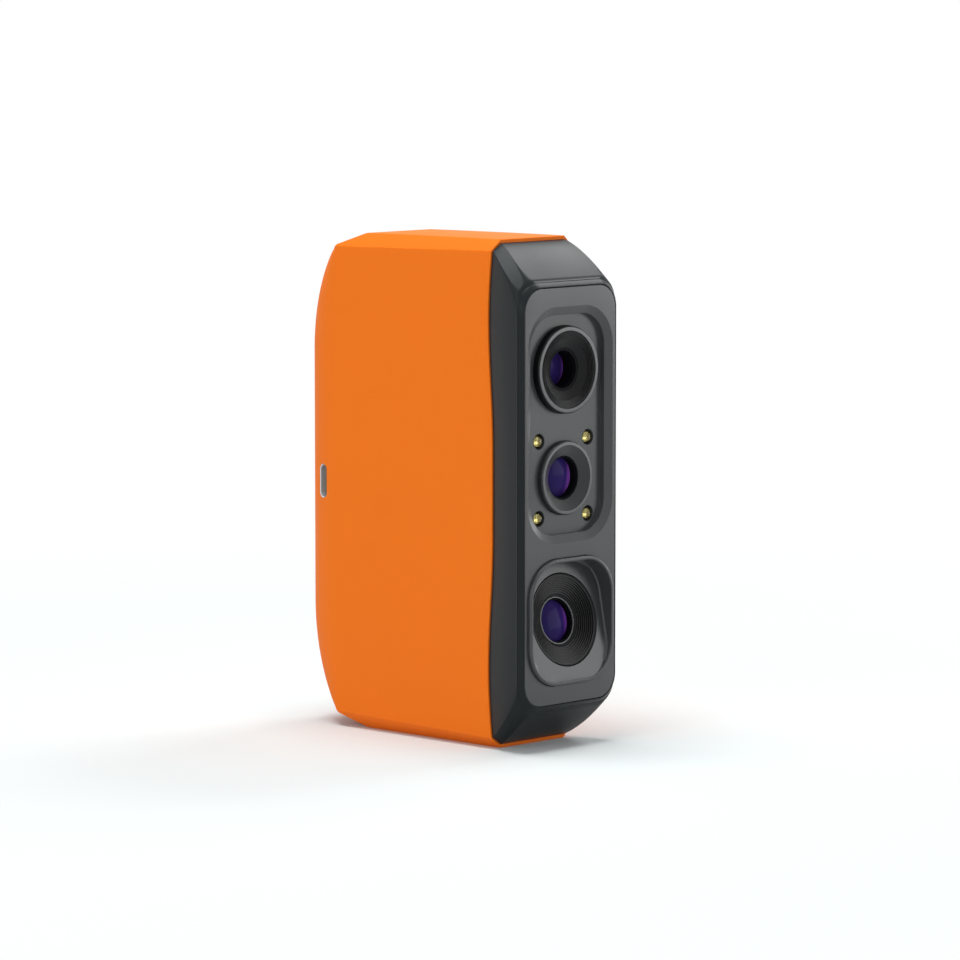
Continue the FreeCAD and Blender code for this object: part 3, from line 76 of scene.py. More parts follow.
HEIGHT = high("housing_sleeve").z
HALF_HEIGHT = HEIGHT / 2
HALF_WIDTH = high("housing_sleeve").x
REAR_Y = high("housing_sleeve").y
DEPTH = 71.3
SEAM_Y = REAR_Y - DEPTH
WALL = 2.0
CHAMFER_WIDTH = 3.15
CHAMFER_HEIGHT = 2.7
CHAMFER_GROWTH = 1.45
SLEEVE_EDGE = 0.45
NOSE = 17.7
NOSE_START = DEPTH - NOSE
ROOF = 46.3
ROOF_SLOPE = 0.42
ROOF_SAG = 0.28
NOSE_UPRIGHT = 32.0
NOSE_CROWN = 27.7
NOSE_TIP_STEP = 0.7
NOSE_FALL = 0.93
WAVE = 1.4
WAVE_REACH = 6
WAVE_HEIGHT = 19.6
WAVE_FLAT = 10.5
LEDGE_Y = low("front_bezel").y
PLATE_Y = low("face_plate").y

# the port, the button and the tripod insert
USB_GAP = 0.15
USB_SHEET = 0.3
USB_REACH = 0.35
CONTACTS = 12
CONTACT_PITCH = 0.5
BUTTON_WIDTH = 9.0
BUTTON_LENGTH = 20.0
BUTTON_GAP = 0.3
BUTTON_FLANGE = 0.9
BUTTON_EDGE = 0.55
BUTTON_DISH = 0.45
PIPE_GAP = 0.06
PIPE_SHOULDER = 0.35
PIPE_DOME = 0.3
SOCKET_RADIUS = 3.175
SOCKET_DEPTH = 8.5
THREAD_PITCH = 25.4 / 20
THREAD_TURNS = 6
THREAD_DEPTH = 0.45

# the bezel and the face plate, with heights measured from the middle
BEZEL_REAR_HALF = 14.05
BEZEL_ROOF_INSET = 0.9
BEZEL_HALF = high("front_bezel").x
BEZEL_TOP = 52.45
BEZEL_WALL = 1.7
BEZEL_ROOF_CURVE = 1.2
BULGE_WIDTH = 0.3
BULGE_HEIGHT = 0.35
REAR_RADIUS = 0.4
RADIUS_CURVE = 5
POCKET_INSET = 3.0
REAR_CUT_WIDTH = 2.75
REAR_CUT_HEIGHT = 1.9
LEDGE_CUT = 3.6
LEDGE_RADIUS = 6.9
RIM_START = 0.18
RIM_WIDTH = 1.0
RIM_LIP = 0.16
GROOVE = 0.14
PLATE_CORNER = LEDGE_RADIUS - 1.1
PLATE_ROUND = 0.14
RECESS_HALF = 15.2
RECESS_HALF_HEIGHT = 28.87
RECESS_CORNER = 10.0
RECESS_Z = HALF_HEIGHT + 17.4
RECESS_SLOPE = 2.0
RECESS_STEP = 1.0
RECESS_FLOOR_Y = PLATE_Y + 2.35
RING_RADIUS = {"projector_ring": 10.75, "colour_ring": 9.05}
LIGHT_RADIUS = 1.25
LIGHT_HOLE = 1.95
RING_TAIL = 3.2
RING_EDGE = 0.35
GLASS_THICKNESS = 1.6
BORE_GAP = 0.06

# the depth camera's hood
HOOD_CORNER = 9.8
HOOD_RIM = 0.94
HOOD_DEPTH = 4.8
HOOD_ROUND = 0.42
HOOD_LIP = 0.25
HOOD_WALL = 0.35
DEPTH_TILT = 11.0
DEPTH_PIVOT_Y = low("lens_hood").y + 2.95
DEPTH_PIVOT_Z = HALF_HEIGHT - 30.75
DEPTH_OUTER = 11.525

# the strengths of the surround and of the floor's own white; the floor's size and fade in metres
WORLD_LIGHT = 0.30
FLOOR_GLOW = 0.04
FLOOR_RADIUS = 6
FADE_START = 0.09
FADE_END = 0.42

# each lamp's direction, distance and size in metres, power in watts and colour
LAMPS = {
    "top_light": ((-0.10, 0.04, 0.99), 1.0, (0.6, 0.6), 10.0, (0.96, 1.0, 0.99)),
    "key_light": ((0.70, 0.03, 0.72), 1.1, (0.42, 0.42), 3.7, (1, 1, 1)),
    "front_fill": ((0.72, -0.69, -0.05), 1.1, (0.55, 0.8), 4.2, (1, 1, 1)),
    "right_fill": ((0.96, -0.25, -0.10), 1.0, (0.4, 0.5), 3.6, (1, 1, 1)),
    "left_fill": ((-0.95, -0.10, 0.30), 1.1, (0.9, 0.9), 3.7, (1, 1, 1)),
    "edge_light": ((-0.72, -0.72, 0.25), 1.1, (0.22, 0.22), 0.8, (1, 1, 1)),
}

# the camera: degrees round and above the object, and the rest in millimetres
CAMERA_AZIMUTH = 46.08
CAMERA_PITCH = 6.182
CAMERA_DISTANCE = 1221.8
CAMERA_AIM = 20.83
CAMERA_RIGHT = 2.055
CAMERA_UP = 1.24
CAMERA_LENS = 184.19
CAMERA_SENSOR = 36


# ---------------------------------------------------------------- making pieces

def quarter(steps, first=0):
    """The angles of a quarter turn, in even steps."""
    return [math.pi / 2 * step / steps for step in range(first, steps + 1)]


def settled(name, bm):
    """Clean a bmesh in millimetres and put it into the scene as an object in metres."""
    bmesh.ops.remove_doubles(bm, verts=bm.verts, dist=1e-4)
    bmesh.ops.recalc_face_normals(bm, faces=bm.faces)
    mesh = bpy.data.meshes.new(name)
    bm.to_mesh(mesh)
    bm.free()
    mesh.transform(Matrix.Scale(MM, 4))
    made = bpy.data.objects.new(name, mesh)
    bpy.context.scene.collection.objects.link(made)
    return made


def finished(name, bm, body, material, replaced=(), smooth_angle=35):
    """Turn a bmesh into a piece that rides on a body and stands for CAD nodes."""
    piece = settled(name, bm)
    piece.data.shade_smooth()
    piece.data.materials.append(material)
    if smooth_angle:
        piece.data.set_sharp_from_angle(angle=math.radians(smooth_angle))
    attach(piece, body)
    if replaced:
        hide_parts(*replaced)
    return piece


def loft(bm, loops, close_ends=(True, True), joined=False):
    """Faces between loops of equally many points; the ends are closed with one face each."""
    rows = [[bm.verts.new(point) for point in loop] for loop in loops]
    count = len(rows[0])
    pairs = list(zip(rows, rows[1:]))
    if joined:
        pairs.append((rows[-1], rows[0]))
    for first, second in pairs:
        for index in range(count):
            following = (index + 1) % count
            corners = [first[index], first[following], second[following], second[index]]
            distinct = []
            for corner in corners:
                if all((corner.co - other.co).length > 1e-6 for other in distinct):
                    distinct.append(corner)
            if len(distinct) > 2:
                bm.faces.new(distinct)
    if not joined and close_ends[0]:
        bm.faces.new(rows[0])
    if not joined and close_ends[1]:
        bm.faces.new(rows[-1][::-1])
    return rows


def octagon(half_width, top, reference, radius, steps=5, side_rows=1):
    """A quarter-symmetric octagon with rounded corners, about the middle height.

    reference is the half width, half height, cut width and cut height of its corner cuts.
    """
    ref_width, ref_top, cut_width, cut_height = reference
    radius = min(radius, half_width * 0.45)
    span = math.hypot(cut_width, cut_height)
    normal = (cut_height / span, cut_width / span)
    distance = normal[0] * ref_width + normal[1] * (ref_top - cut_height) - radius
    inner_x = half_width - radius
    inner_z = top - radius
    top_x = (distance - normal[1] * inner_z) / normal[0]
    side_z = (distance - normal[0] * inner_x) / normal[1]
    upper = (min(top_x, inner_x), inner_z)
    lower = (inner_x, min(side_z, inner_z))
    turn = math.atan2(normal[1], normal[0])
    corner = []
    for centre, start, end in ((lower, 0, turn), (upper, turn, math.pi / 2)):
        for step in range(steps + 1):
            angle = start + (end - start) * step / steps
            corner.append((centre[0] + radius * math.cos(angle),
                           centre[1] + radius * math.sin(angle)))
    side = [(half_width, lower[1] * (2 * row / side_rows - 1)) for row in range(1, side_rows)]
    right_top = side + corner
    left_top = [(-x, z) for x, z in reversed(corner)]
    left_side = [(-x, -z) for x, z in side]
    left_bottom = [(-x, -z) for x, z in corner]
    right_bottom = [(x, -z) for x, z in reversed(corner)]
    return right_top + left_top + left_side + left_bottom + right_bottom


def rounded_rectangle(half_width, half_height, radius, steps=10, side_steps=1):
    """A rectangle with round corners, as points about its centre."""
    radius = min(radius, half_width, half_height)
    corners = []
    for turn, (sign_x, sign_z) in enumerate(((1, 1), (-1, 1), (-1, -1), (1, -1))):
        arc = []
        for step in range(steps + 1):
            angle = math.pi / 2 * (turn + step / steps)
            arc.append((sign_x * (half_width - radius) + radius * math.cos(angle),
                        sign_z * (half_height - radius) + radius * math.sin(angle)))
        corners.append(arc)
    points = []
    for arc, following in zip(corners, corners[1:] + corners[:1]):
        points += arc
        (start_x, start_z), (end_x, end_z) = arc[-1], following[0]
        for step in range(1, side_steps):
            share = step / side_steps
            points.append((start_x + (end_x - start_x) * share,
                           start_z + (end_z - start_z) * share))
    return points


def pill_outline(half_width, half_height, steps=16):
    """A round-ended slot, taller than wide, as points about its centre."""
    return rounded_rectangle(half_width, half_height, half_width, steps)


def at_y(outline, y, centre_z):
    """Stand an outline of X and Z upright at y."""
    return [Vector((x, y, centre_z + z)) for x, z in outline]


def at_x(outline, x, centre):
    """Stand an outline of Y and Z upright at x, about a centre."""
    return [Vector((x, centre.y + y, centre.z + z)) for y, z in outline]


def rectangle_at(half_width, half_height, corner, inset, y, centre_z, steps=20, side_steps=1):
    """A round-cornered rectangle at y, drawn in by inset on every side."""
    return at_y(rounded_rectangle(half_width - inset, half_height - inset, corner - inset, steps,
                                  side_steps), y, centre_z)


def turned(bm, profile, matrix, segments, joined=False):
    """Revolve (radius, y) corners about the Y axis and put the result in place."""
    angles = [2 * math.pi * step / segments for step in range(segments)]
    loops = []
    for radius, y in profile:
        reach = max(radius, 0)
        loops.append([Vector((reach * math.cos(angle), y, reach * math.sin(angle)))
                      for angle in angles])
    for row in loft(bm, loops, close_ends=(False, False), joined=joined):
        for vert in row:
            vert.co = matrix @ vert.co


def rounded_profile(corners, radius=0.12, steps=3):
    """Round each corner of an open profile of (radius, y) points by a small fillet."""
    points = [Vector(c[:2]) for c in corners]
    sizes = [c[2] if len(c) > 2 else radius for c in corners]
    result = [points[0]]
    for index in range(1, len(points) - 1):
        before, here, after = points[index - 1:index + 2]
        size = min(sizes[index], (before - here).length * 0.45, (after - here).length * 0.45)
        start = here + (before - here).normalized() * size
        end = here + (after - here).normalized() * size
        for step in range(steps + 1):
            t = step / steps
            result.append(start * (1 - t) ** 2 + here * 2 * t * (1 - t) + end * t ** 2)
    result.append(points[-1])
    return [(p.x, p.y) for p in result]


def cut_with(piece, tools, bevel=None, joining=False):
    """Take tool pieces out of a piece for good, or join them to it, and round the new edges."""
    for tool in tools:
        modifier = piece.modifiers.new("shape", "BOOLEAN")
        modifier.operation = "UNION" if joining else "DIFFERENCE"
        modifier.solver = "EXACT"
        modifier.object = tool
    if bevel:
        width, angle = bevel
        modifier = piece.modifiers.new("edge", "BEVEL")
        modifier.width = width * MM
        modifier.segments = 3
        modifier.limit_method = "ANGLE"
        modifier.angle_limit = math.radians(angle)
        modifier.use_clamp_overlap = True
        modifier.harden_normals = True
    bpy.context.view_layer.update()
    graph = bpy.context.evaluated_depsgraph_get()
    mesh = bpy.data.meshes.new_from_object(piece.evaluated_get(graph))
    piece.modifiers.clear()
    piece.data = mesh
    for tool in tools:
        bpy.data.objects.remove(tool)


def lofted(loops, close_ends=(True, True), joined=False):
    """A bmesh lofted through loops."""
    bm = bmesh.new()
    loft(bm, loops, close_ends, joined)
    return bm


def revolved(profile, matrix, segments, joined=False):
    """A bmesh revolved about the Y axis and put in place."""
    bm = bmesh.new()
    turned(bm, profile, matrix, segments, joined)
    return bm


def prism_tool(name, outlines):
    """A closed helper solid for cut_with, lofted through upright outlines."""
    return settled(name, lofted(outlines))


def turned_tool(name, profile, matrix):
    """A closed helper solid for cut_with, revolved about the Y axis."""
    return settled(name, revolved(profile, matrix, 96))


def round_tool(name, radius, y, depth, x, z):
    """A round helper solid along Y."""
    return turned_tool(name, [(0, y), (radius, y), (radius, y + depth), (0, y + depth)],
                       Matrix.Translation((x, 0, z)))


# ---------------------------------------------------------------- materials

def shader(name, colour, roughness, **inputs):
    """A material's Principled shader, and the node tree to add detail to."""
    material = bpy.data.materials.new(name)
    material.use_nodes = True
    tree = material.node_tree
    principled = tree.nodes["Principled BSDF"]
    feed(tree, principled, Base_Color=(*colour, 1), Roughness=roughness, **inputs)
    return material, tree, principled


def feed(tree, node, **inputs):
    """Set a node's inputs to values, or feed them from other nodes' outputs."""
    for name, value in inputs.items():
        socket = node.inputs[name.replace("_", " ")]
        if isinstance(value, bpy.types.NodeSocket):
            tree.links.new(value, socket)
        else:
            socket.default_value = value


def add(tree, kind, settings=(), **inputs):
    """A node with some of its settings and inputs."""
    made = tree.nodes.new(kind)
    for name, value in dict(settings).items():
        setattr(made, name, value)
    feed(tree, made, **inputs)
    return made


def bumped(tree, principled, noise, strength, distance):
    """Let a noise raise the surface by a distance in millimetres."""
    bump = add(tree, "ShaderNodeBump", Strength=strength, Distance=distance * MM,
               Height=noise.outputs["Fac"])
    feed(tree, principled, Normal=bump.outputs["Normal"])


def varied(tree, principled, place, colours, scale, rough_a, rough_b):
    """Soft variation of colour and gloss over the surface."""
    noise = add(tree, "ShaderNodeTexNoise", Scale=scale, Detail=3.0, Roughness=0.5, Vector=place)
    wander = noise.outputs["Fac"]
    darker, lighter = ((*colour, 1) for colour in colours)
    mix = add(tree, "ShaderNodeMix", {"data_type": "RGBA"}, Factor=wander, A=darker, B=lighter)
    gloss = add(tree, "ShaderNodeMapRange", Value=wander, From_Min=0.3, From_Max=0.7,
                To_Min=rough_a, To_Max=rough_b)
    feed(tree, principled, Base_Color=mix.outputs["Result"], Roughness=gloss.outputs["Result"])


def scaled(colour, factor):
    """A colour made darker or lighter, and no brighter than white."""
    return [min(channel * factor, 1) for channel in colour]


def moulded(name, colour, roughness, contrast=0.04, strength=0.12, **inputs):
    """A moulded plastic or rubber: fine grain, faint mottling and uneven gloss."""
    material, tree, principled = shader(name, colour, roughness, **inputs)
    place = tree.nodes.new("ShaderNodeTexCoord").outputs["Object"]
    noise = add(tree, "ShaderNodeTexNoise", Scale=9000, Detail=6.0, Roughness=0.62, Vector=place)
    bumped(tree, principled, noise, strength, 0.02)
    varied(tree, principled, place, (scaled(colour, 1 - contrast), scaled(colour, 1 + contrast)),
           45, roughness - 0.04, roughness + 0.04)
    return material


def metal(name, colour, roughness, metallic=1.0):
    """A machined or anodised metal with fine tool lines."""
    material, tree, principled = shader(name, colour, roughness, Metallic=metallic)
    place = tree.nodes.new("ShaderNodeTexCoord").outputs["Object"]
    stretched = add(tree, "ShaderNodeMapping", Scale=(1, 1, 25), Vector=place)
    noise = add(tree, "ShaderNodeTexNoise", Scale=400, Detail=4.0,
                Vector=stretched.outputs["Vector"])
    bumped(tree, principled, noise, 0.1, 0.01)
    varied(tree, principled, place, (scaled(colour, 0.92), scaled(colour, 1.06)),
           60, roughness - 0.05, roughness + 0.06)
    return material


def coated_glass_painted_reflection(name):
    """A dark violet coated lens: deep blue in the middle, with a painted violet reflection of the
    coating towards its rim, where the surface is seen at a slant.
    """
    material, tree, principled = shader(
        name, (0.02, 0.012, 0.06), 0.06, IOR=1.52, Specular_IOR_Level=0.02)
    # painted reflection: the base colour turns violet where the lens is seen at a slant
    facing = add(tree, "ShaderNodeLayerWeight", Blend=0.35)
    ramp = add(tree, "ShaderNodeValToRGB", Fac=facing.outputs["Facing"])
    stops = ramp.color_ramp.elements
    stops[0].position, stops[0].color = 0.0, (0.020, 0.017, 0.072, 1)
    stops[1].position, stops[1].color = 0.43, (0.34, 0.10, 0.66, 1)
    stops.new(0.36).color = (0.038, 0.020, 0.15, 1)
    place = tree.nodes.new("ShaderNodeTexCoord").outputs["Object"]
    noise = add(tree, "ShaderNodeTexNoise", Scale=140.0, Detail=2.0, Vector=place)
    tint = add(tree, "ShaderNodeMix", {"data_type": "RGBA", "blend_type": "MULTIPLY"},
               Factor=0.25, A=ramp.outputs["Color"], B=noise.outputs["Color"])
    feed(tree, principled, Base_Color=tint.outputs["Result"])
    return material


ORANGE = moulded("orange_satin", (0.86, 0.178, 0.013), 0.50, contrast=0.015, strength=0.07,
                 Specular_IOR_Level=0.05)
# The bezel, the plate and the hood are one dark plastic. The plate's and the hood's lighter bases
# are painted light, standing in for the sheen the front takes from the lamps. The bezel's base is
# tinted bluish as painted colour against the orange reflection of the floor.
BEZEL_GREY = moulded("bezel_satin", (0.0125, 0.0155, 0.0170), 0.32, contrast=0.03, strength=0.08,
                     Specular_IOR_Level=0.11)
PLATE_PAINTED_LIGHT_GREY = moulded("plate_satin_painted_light", (0.050, 0.052, 0.054), 0.33, contrast=0.03, strength=0.10,
                     Specular_IOR_Level=0.38)
HOOD_PAINTED_LIGHT_GREY = moulded("hood_satin_painted_light", (0.042, 0.044, 0.046), 0.33, contrast=0.03, strength=0.10,
                    Specular_IOR_Level=0.38)
RING_GREY = moulded("ring_satin", (0.022, 0.0235, 0.025), 0.33, contrast=0.03, strength=0.10,
                    Specular_IOR_Level=0.35)
RING_BLACK = moulded("ring_matte_black", (0.005, 0.0052, 0.0056), 0.32, contrast=0.05,
                     strength=0.10, Specular_IOR_Level=0.16)
# a paler grey for the thin bands on the ring fronts: a painted highlight
PAINTED_HIGHLIGHT_GREY = moulded("aperture_painted_highlight", (0.075, 0.077, 0.080), 0.32, contrast=0.03, strength=0.08)
BARREL_BLACK = moulded("barrel_black", (0.003, 0.003, 0.004), 0.5, contrast=0.05, strength=0.1,
                       Specular_IOR_Level=0.05)
LENS_GLASS = coated_glass_painted_reflection("coated_glass_painted_violet_reflection")
DIE_YELLOW = moulded("phosphor_yellow", (0.75, 0.62, 0.10), 0.6, contrast=0.1)
DOME_YELLOW = moulded("dome_silicone", (0.50, 0.44, 0.17), 0.14, contrast=0.03, strength=0.02,
                      Transmission_Weight=0.8, IOR=1.42)
CLEAR_PLASTIC = moulded("clear_pipe", (0.85, 0.87, 0.88), 0.18, contrast=0.02, strength=0.03,
                        Transmission_Weight=0.7, IOR=1.5)
PORT_STEEL = metal("port_steel", (0.60, 0.60, 0.61), 0.36, metallic=0.4)
CONTACT_GOLD = metal("contact_gold", (0.85, 0.62, 0.25), 0.25)
SWITCH_BLACK = moulded("black_nylon", (0.012, 0.012, 0.013), 0.45, contrast=0.06)
BRASS = metal("turned_brass", (0.72, 0.52, 0.22), 0.3)
BUTTON_GREY = moulded("button_soft_touch", (0.060, 0.062, 0.066), 0.5, contrast=0.04, strength=0.2)


# ---------------------------------------------------------------- the orange sleeve

def half_top(depth):
    """The sleeve's half height at a depth behind the seam: a flat roof, then a slope."""
    return HALF_HEIGHT - ROOF_SLOPE * max(depth - ROOF, 0)


def roof_sag(depth):
    """How far the roof sags under that line: it grows to the slope and is gone at the nose."""
    if depth < ROOF:
        return ROOF_SAG * (depth / ROOF) ** 2
    return ROOF_SAG * max(NOSE_START - depth, 0) / (NOSE_START - ROOF)


def nose_reach(z, inset=0.0):
    """How far the nose stands back at a height from the middle: upright, then a quarter ellipse."""
    over = min(max(abs(z) + inset - NOSE_UPRIGHT, 0) / NOSE_CROWN, 0.99)
    return max(NOSE * math.sqrt(1 - over * over) - inset, 0.3)


def seam_wave(z):
    """How far back the seam lies at a height measured from the middle."""
    edge = HALF_HEIGHT - abs(z)
    if edge < WAVE_HEIGHT:
        return WAVE * math.sin(math.pi / 2 * max(edge, 0) / WAVE_HEIGHT)
    span = HALF_HEIGHT - WAVE_FLAT - WAVE_HEIGHT
    share = min((edge - WAVE_HEIGHT) / span, 1)
    return WAVE * math.cos(math.pi / 2 * share) ** 2


def sleeve_crease(depth, inset):
    """The half height at which the sleeve's chamfer starts, at a depth behind the seam."""
    return HALF_HEIGHT - CHAMFER_HEIGHT - CHAMFER_GROWTH * depth / DEPTH - inset


def sleeve_section(depth, inset, side_rows):
    """The sleeve's outline at a depth behind the seam, shrunk by inset."""
    cut_height = CHAMFER_HEIGHT + CHAMFER_GROWTH * depth / DEPTH
    reference = (HALF_WIDTH - inset, HALF_HEIGHT - inset, CHAMFER_WIDTH, cut_height)
    return octagon(HALF_WIDTH - inset, half_top(depth) - inset, reference, SLEEVE_EDGE,
                   side_rows=side_rows)


def sleeve_depths(front):
    """The depths of the sleeve's sections in front of the nose."""
    depths = [front, front + 0.6, front + 1.6, front + 3.0]
    depths += [WAVE_REACH + 4 * step for step in range(10)]
    depths += [ROOF - 0.6, ROOF - 0.2, ROOF + 0.2, ROOF + 0.6, (ROOF + NOSE_START) / 2]
    return depths + [NOSE_START - 0.8]


def sleeve_loop(depth, inset, side_rows):
    """One section as points in the frame, following the wavy seam near the front."""
    points = []
    top = half_top(depth) - inset
    crease = sleeve_crease(depth, inset)
    for x, z in sleeve_section(depth, inset, side_rows):
        wave = seam_wave(z) * max(1 - depth / WAVE_REACH, 0)
        sag = roof_sag(depth) * min(max((z - crease) / (top - crease), 0), 1)
        points.append(Vector((x, SEAM_Y + depth + wave, HALF_HEIGHT + z - sag)))
    return points


def nose_loops(inset, side_rows, steps=72):
    """The nose: the last straight section swung round to the rear, row by row."""
    section = sleeve_section(NOSE_START, inset, side_rows)
    top = half_top(NOSE_START) - inset
    crease = sleeve_crease(NOSE_START, inset)
    loops = []
    for turn in quarter(steps):
        points = []
        for x, z in section:
            share = min(max((abs(z) - crease) / (top - crease), 0), 1)
            reach = nose_reach(min(abs(z), crease), inset) - NOSE_TIP_STEP * share
            fall = (top - crease) * share * math.sin(turn) * NOSE_FALL
            points.append(Vector((x * math.cos(turn),
                                  SEAM_Y + NOSE_START + reach * math.sin(turn),
                                  HALF_HEIGHT + math.copysign(abs(z) - fall, z))))
        loops.append(points)
    return loops


def rear_cut(name, outline, centre_z):
    """A helper solid that cuts an outline into the nose from behind."""
    return prism_tool(name, [at_y(outline, REAR_Y - NOSE / 2, centre_z),
                             at_y(outline, REAR_Y + 2, centre_z)])


def sleeve_holes():
    """Helper solids for the port slot, the button, the status light and the tripod insert."""
    port_low, port_high = low("usb_shell"), high("usb_shell")
    half_slot = (port_high.y - port_low.y) / 2 + USB_GAP
    half_long = (port_high.z - port_low.z) / 2 + USB_GAP
    narrow = -USB_GAP - USB_SHEET + 0.03
    lip = port_low.x - USB_REACH - 0.05
    port = [at_x(pill_outline(half_slot + flare, half_long + flare), x, (port_low + port_high) / 2)
            for x, flare in ((port_high.x, 0), (lip, 0), (lip, narrow), (-HALF_WIDTH - 1, narrow))]
    button = pill_outline(BUTTON_WIDTH / 2 + BUTTON_GAP, BUTTON_LENGTH / 2 + BUTTON_GAP, 24)
    radius = (high("light_pipe").x - low("light_pipe").x) / 2 + PIPE_GAP
    insert = high("tripod_insert").x + 0.04
    mouth = insert + 0.35
    return [prism_tool("port_cut", port),
            rear_cut("button_cut", button, middle("scan_button").z),
            rear_cut("light_cut", pill_outline(radius, radius, 10), middle("light_pipe").z),
            turned_tool("insert_cut", [(0, -1), (mouth, -1), (mouth, 0.0), (insert, 0.35),
                                       (insert, 4), (0, 4)], Matrix.Rotation(math.pi / 2, 4, "X"))]


def orange_sleeve():
    """The one-piece sleeve: outer skin, rounded rim and inner skin, with its four holes."""
    rows = 64
    loops = nose_loops(0, rows)[::-1]
    loops += [sleeve_loop(depth, 0, rows) for depth in reversed(sleeve_depths(0.3))]
    for inset, forward in ((0.02, 0.15), (0.07, 0.05), (0.14, 0.01), (0.24, 0.0), (WALL, 0.0)):
        loops.append(sleeve_loop(forward, inset, rows))
    loops += [sleeve_loop(depth, WALL, rows) for depth in sleeve_depths(0.4)]
    loops += nose_loops(WALL, rows, 36)
    piece = finished("sleeve_shell", lofted(loops, (False, False)), BODY, ORANGE,
                     ["housing_sleeve"], 0)
    cut_with(piece, sleeve_holes())
    piece.data.set_sharp_from_angle(angle=math.radians(38))


# ---------------------------------------------------------------- the bezel and the face plate

def bezel_loop(share, inset=0.0, y=None, radius=None):
    """The bezel's outline between the seam (0) and the ledge (1)."""
    bulge = math.sin(math.pi * share)
    flare = (BEZEL_HALF - BEZEL_REAR_HALF) * share
    half_width = BEZEL_REAR_HALF + flare + BULGE_WIDTH * bulge - inset
    rear_top = HALF_HEIGHT - BEZEL_ROOF_INSET
    fall = (BEZEL_TOP - rear_top) * share ** BEZEL_ROOF_CURVE
    top = rear_top + fall + BULGE_HEIGHT * bulge - inset
    cut_width = REAR_CUT_WIDTH + (LEDGE_CUT - REAR_CUT_WIDTH) * share
    cut_height = REAR_CUT_HEIGHT + (LEDGE_CUT - REAR_CUT_HEIGHT) * share
    if radius is None:
        radius = REAR_RADIUS + (LEDGE_RADIUS - REAR_RADIUS) * share ** RADIUS_CURVE
    outline = octagon(half_width, top, (half_width, top, cut_width, cut_height), radius,
                      steps=8, side_rows=28)
    points = []
    for x, z in outline:
        depth = y
        if y is None:
            depth = LEDGE_Y * share + SEAM_Y * (1 - share) + seam_wave(z) * (1 - share)
        points.append(Vector((x, depth, HALF_HEIGHT + z)))
    return points


def front_bezel():
    """The flared bezel: facets from the seam to a fine groove, a chamfered rim, then a pocket."""
    pocket = PLATE_Y + 2.2
    inner = RIM_START + RIM_WIDTH
    lip = inner + RIM_LIP
    steps = 26
    loops = [bezel_loop(0, BEZEL_WALL), bezel_loop(0, 0.1), bezel_loop(0.01, 0.02)]
    loops += [bezel_loop(0.02 + 0.94 * step / steps) for step in range(steps + 1)]
    loops += [bezel_loop(1, inset, y, LEDGE_RADIUS - inset) for inset, y in (
        (0, LEDGE_Y + 0.24), (0.02, LEDGE_Y + 0.16), (RIM_START, LEDGE_Y + 0.12),
        (RIM_START, LEDGE_Y + 0.03), (RIM_START + 0.04, LEDGE_Y - 0.03),
        (inner - 0.06, PLATE_Y + 0.06), (inner, PLATE_Y + 0.01), (inner + 0.08, PLATE_Y),
        (inner + 0.14, PLATE_Y + 0.05), (lip, PLATE_Y + 0.15), (lip, pocket),
        (POCKET_INSET, pocket), (POCKET_INSET, pocket + 1.8))]
    loops += [bezel_loop(0.3, 2.0, radius=REAR_RADIUS), bezel_loop(0, BEZEL_WALL)]
    finished("bezel_shell", lofted(loops, (False, False)), BODY, BEZEL_GREY,
             ["front_bezel"], 50)


def face_plate():
    """The front plate: crisp edges, a stepped recess, the hood's opening and the lens holes."""
    inside = RIM_START + RIM_WIDTH + RIM_LIP + GROOVE
    back = PLATE_Y + 2.0
    hood = (high("lens_hood") - low("lens_hood")) / 2
    hood_z = middle("lens_hood").z

    def edge(inset, y):
        return rectangle_at(BEZEL_HALF - inside, BEZEL_TOP - inside, PLATE_CORNER, inset, y,
                            HALF_HEIGHT)

    def recess(inset, y, steps=24):
        return rectangle_at(RECESS_HALF, RECESS_HALF_HEIGHT, RECESS_CORNER, inset, y, RECESS_Z,
                            steps)

    outlines = [edge(5, PLATE_Y)]
    outlines += [edge(PLATE_ROUND * (1 - math.sin(angle)),
                      PLATE_Y + PLATE_ROUND * (1 - math.cos(angle))) for angle in quarter(8)]
    outlines.append(edge(0, back))
    piece = finished("plate_shell", lofted(outlines), BODY, PLATE_PAINTED_LIGHT_GREY,
                     ["face_plate"], 40)
    tray = [recess(1, y, 20) for y in (back - 0.4, high("face_plate").y)]
    cut_with(piece, [prism_tool("tray", tray)], joining=True)
    slope = [recess(inset, y) for inset, y in (
        (-1.2, PLATE_Y - 0.6), (0, PLATE_Y), (RECESS_SLOPE, PLATE_Y + RECESS_STEP),
        (RECESS_SLOPE, RECESS_FLOOR_Y))]
    opening = [rectangle_at(hood.x, hood.z, HOOD_CORNER, -0.12, y, hood_z, 24)
               for y in (PLATE_Y - 1, back + 1)]
    tools = [prism_tool("recess", slope), prism_tool("opening", opening)]
    holes = [(RING_RADIUS[ring] + BORE_GAP, 0, middle(ring).z) for ring in RING_RADIUS]
    holes += [(LIGHT_HOLE, x, z) for x, z in light_places()]
    for radius, x, z in holes:
        tools.append(round_tool("hole", radius, RECESS_FLOOR_Y - 1, 6, x, z))
    cut_with(piece, tools, bevel=(0.16, 32))


def light_places():
    """Where the four fill lights stand, as X and Z."""
    lowest, highest = low("fill_lights"), high("fill_lights")
    return [(x, z) for x in (lowest.x + LIGHT_RADIUS, highest.x - LIGHT_RADIUS)
            for z in (lowest.z + LIGHT_RADIUS, highest.z - LIGHT_RADIUS)]


# ---------------------------------------------------------------- lens rings, glass and lights

def seat(node):
    """The matrix that puts a turned piece on its unit's axis, its front at the node's front."""
    return Matrix.Translation((0, low(node).y, middle(node).z))


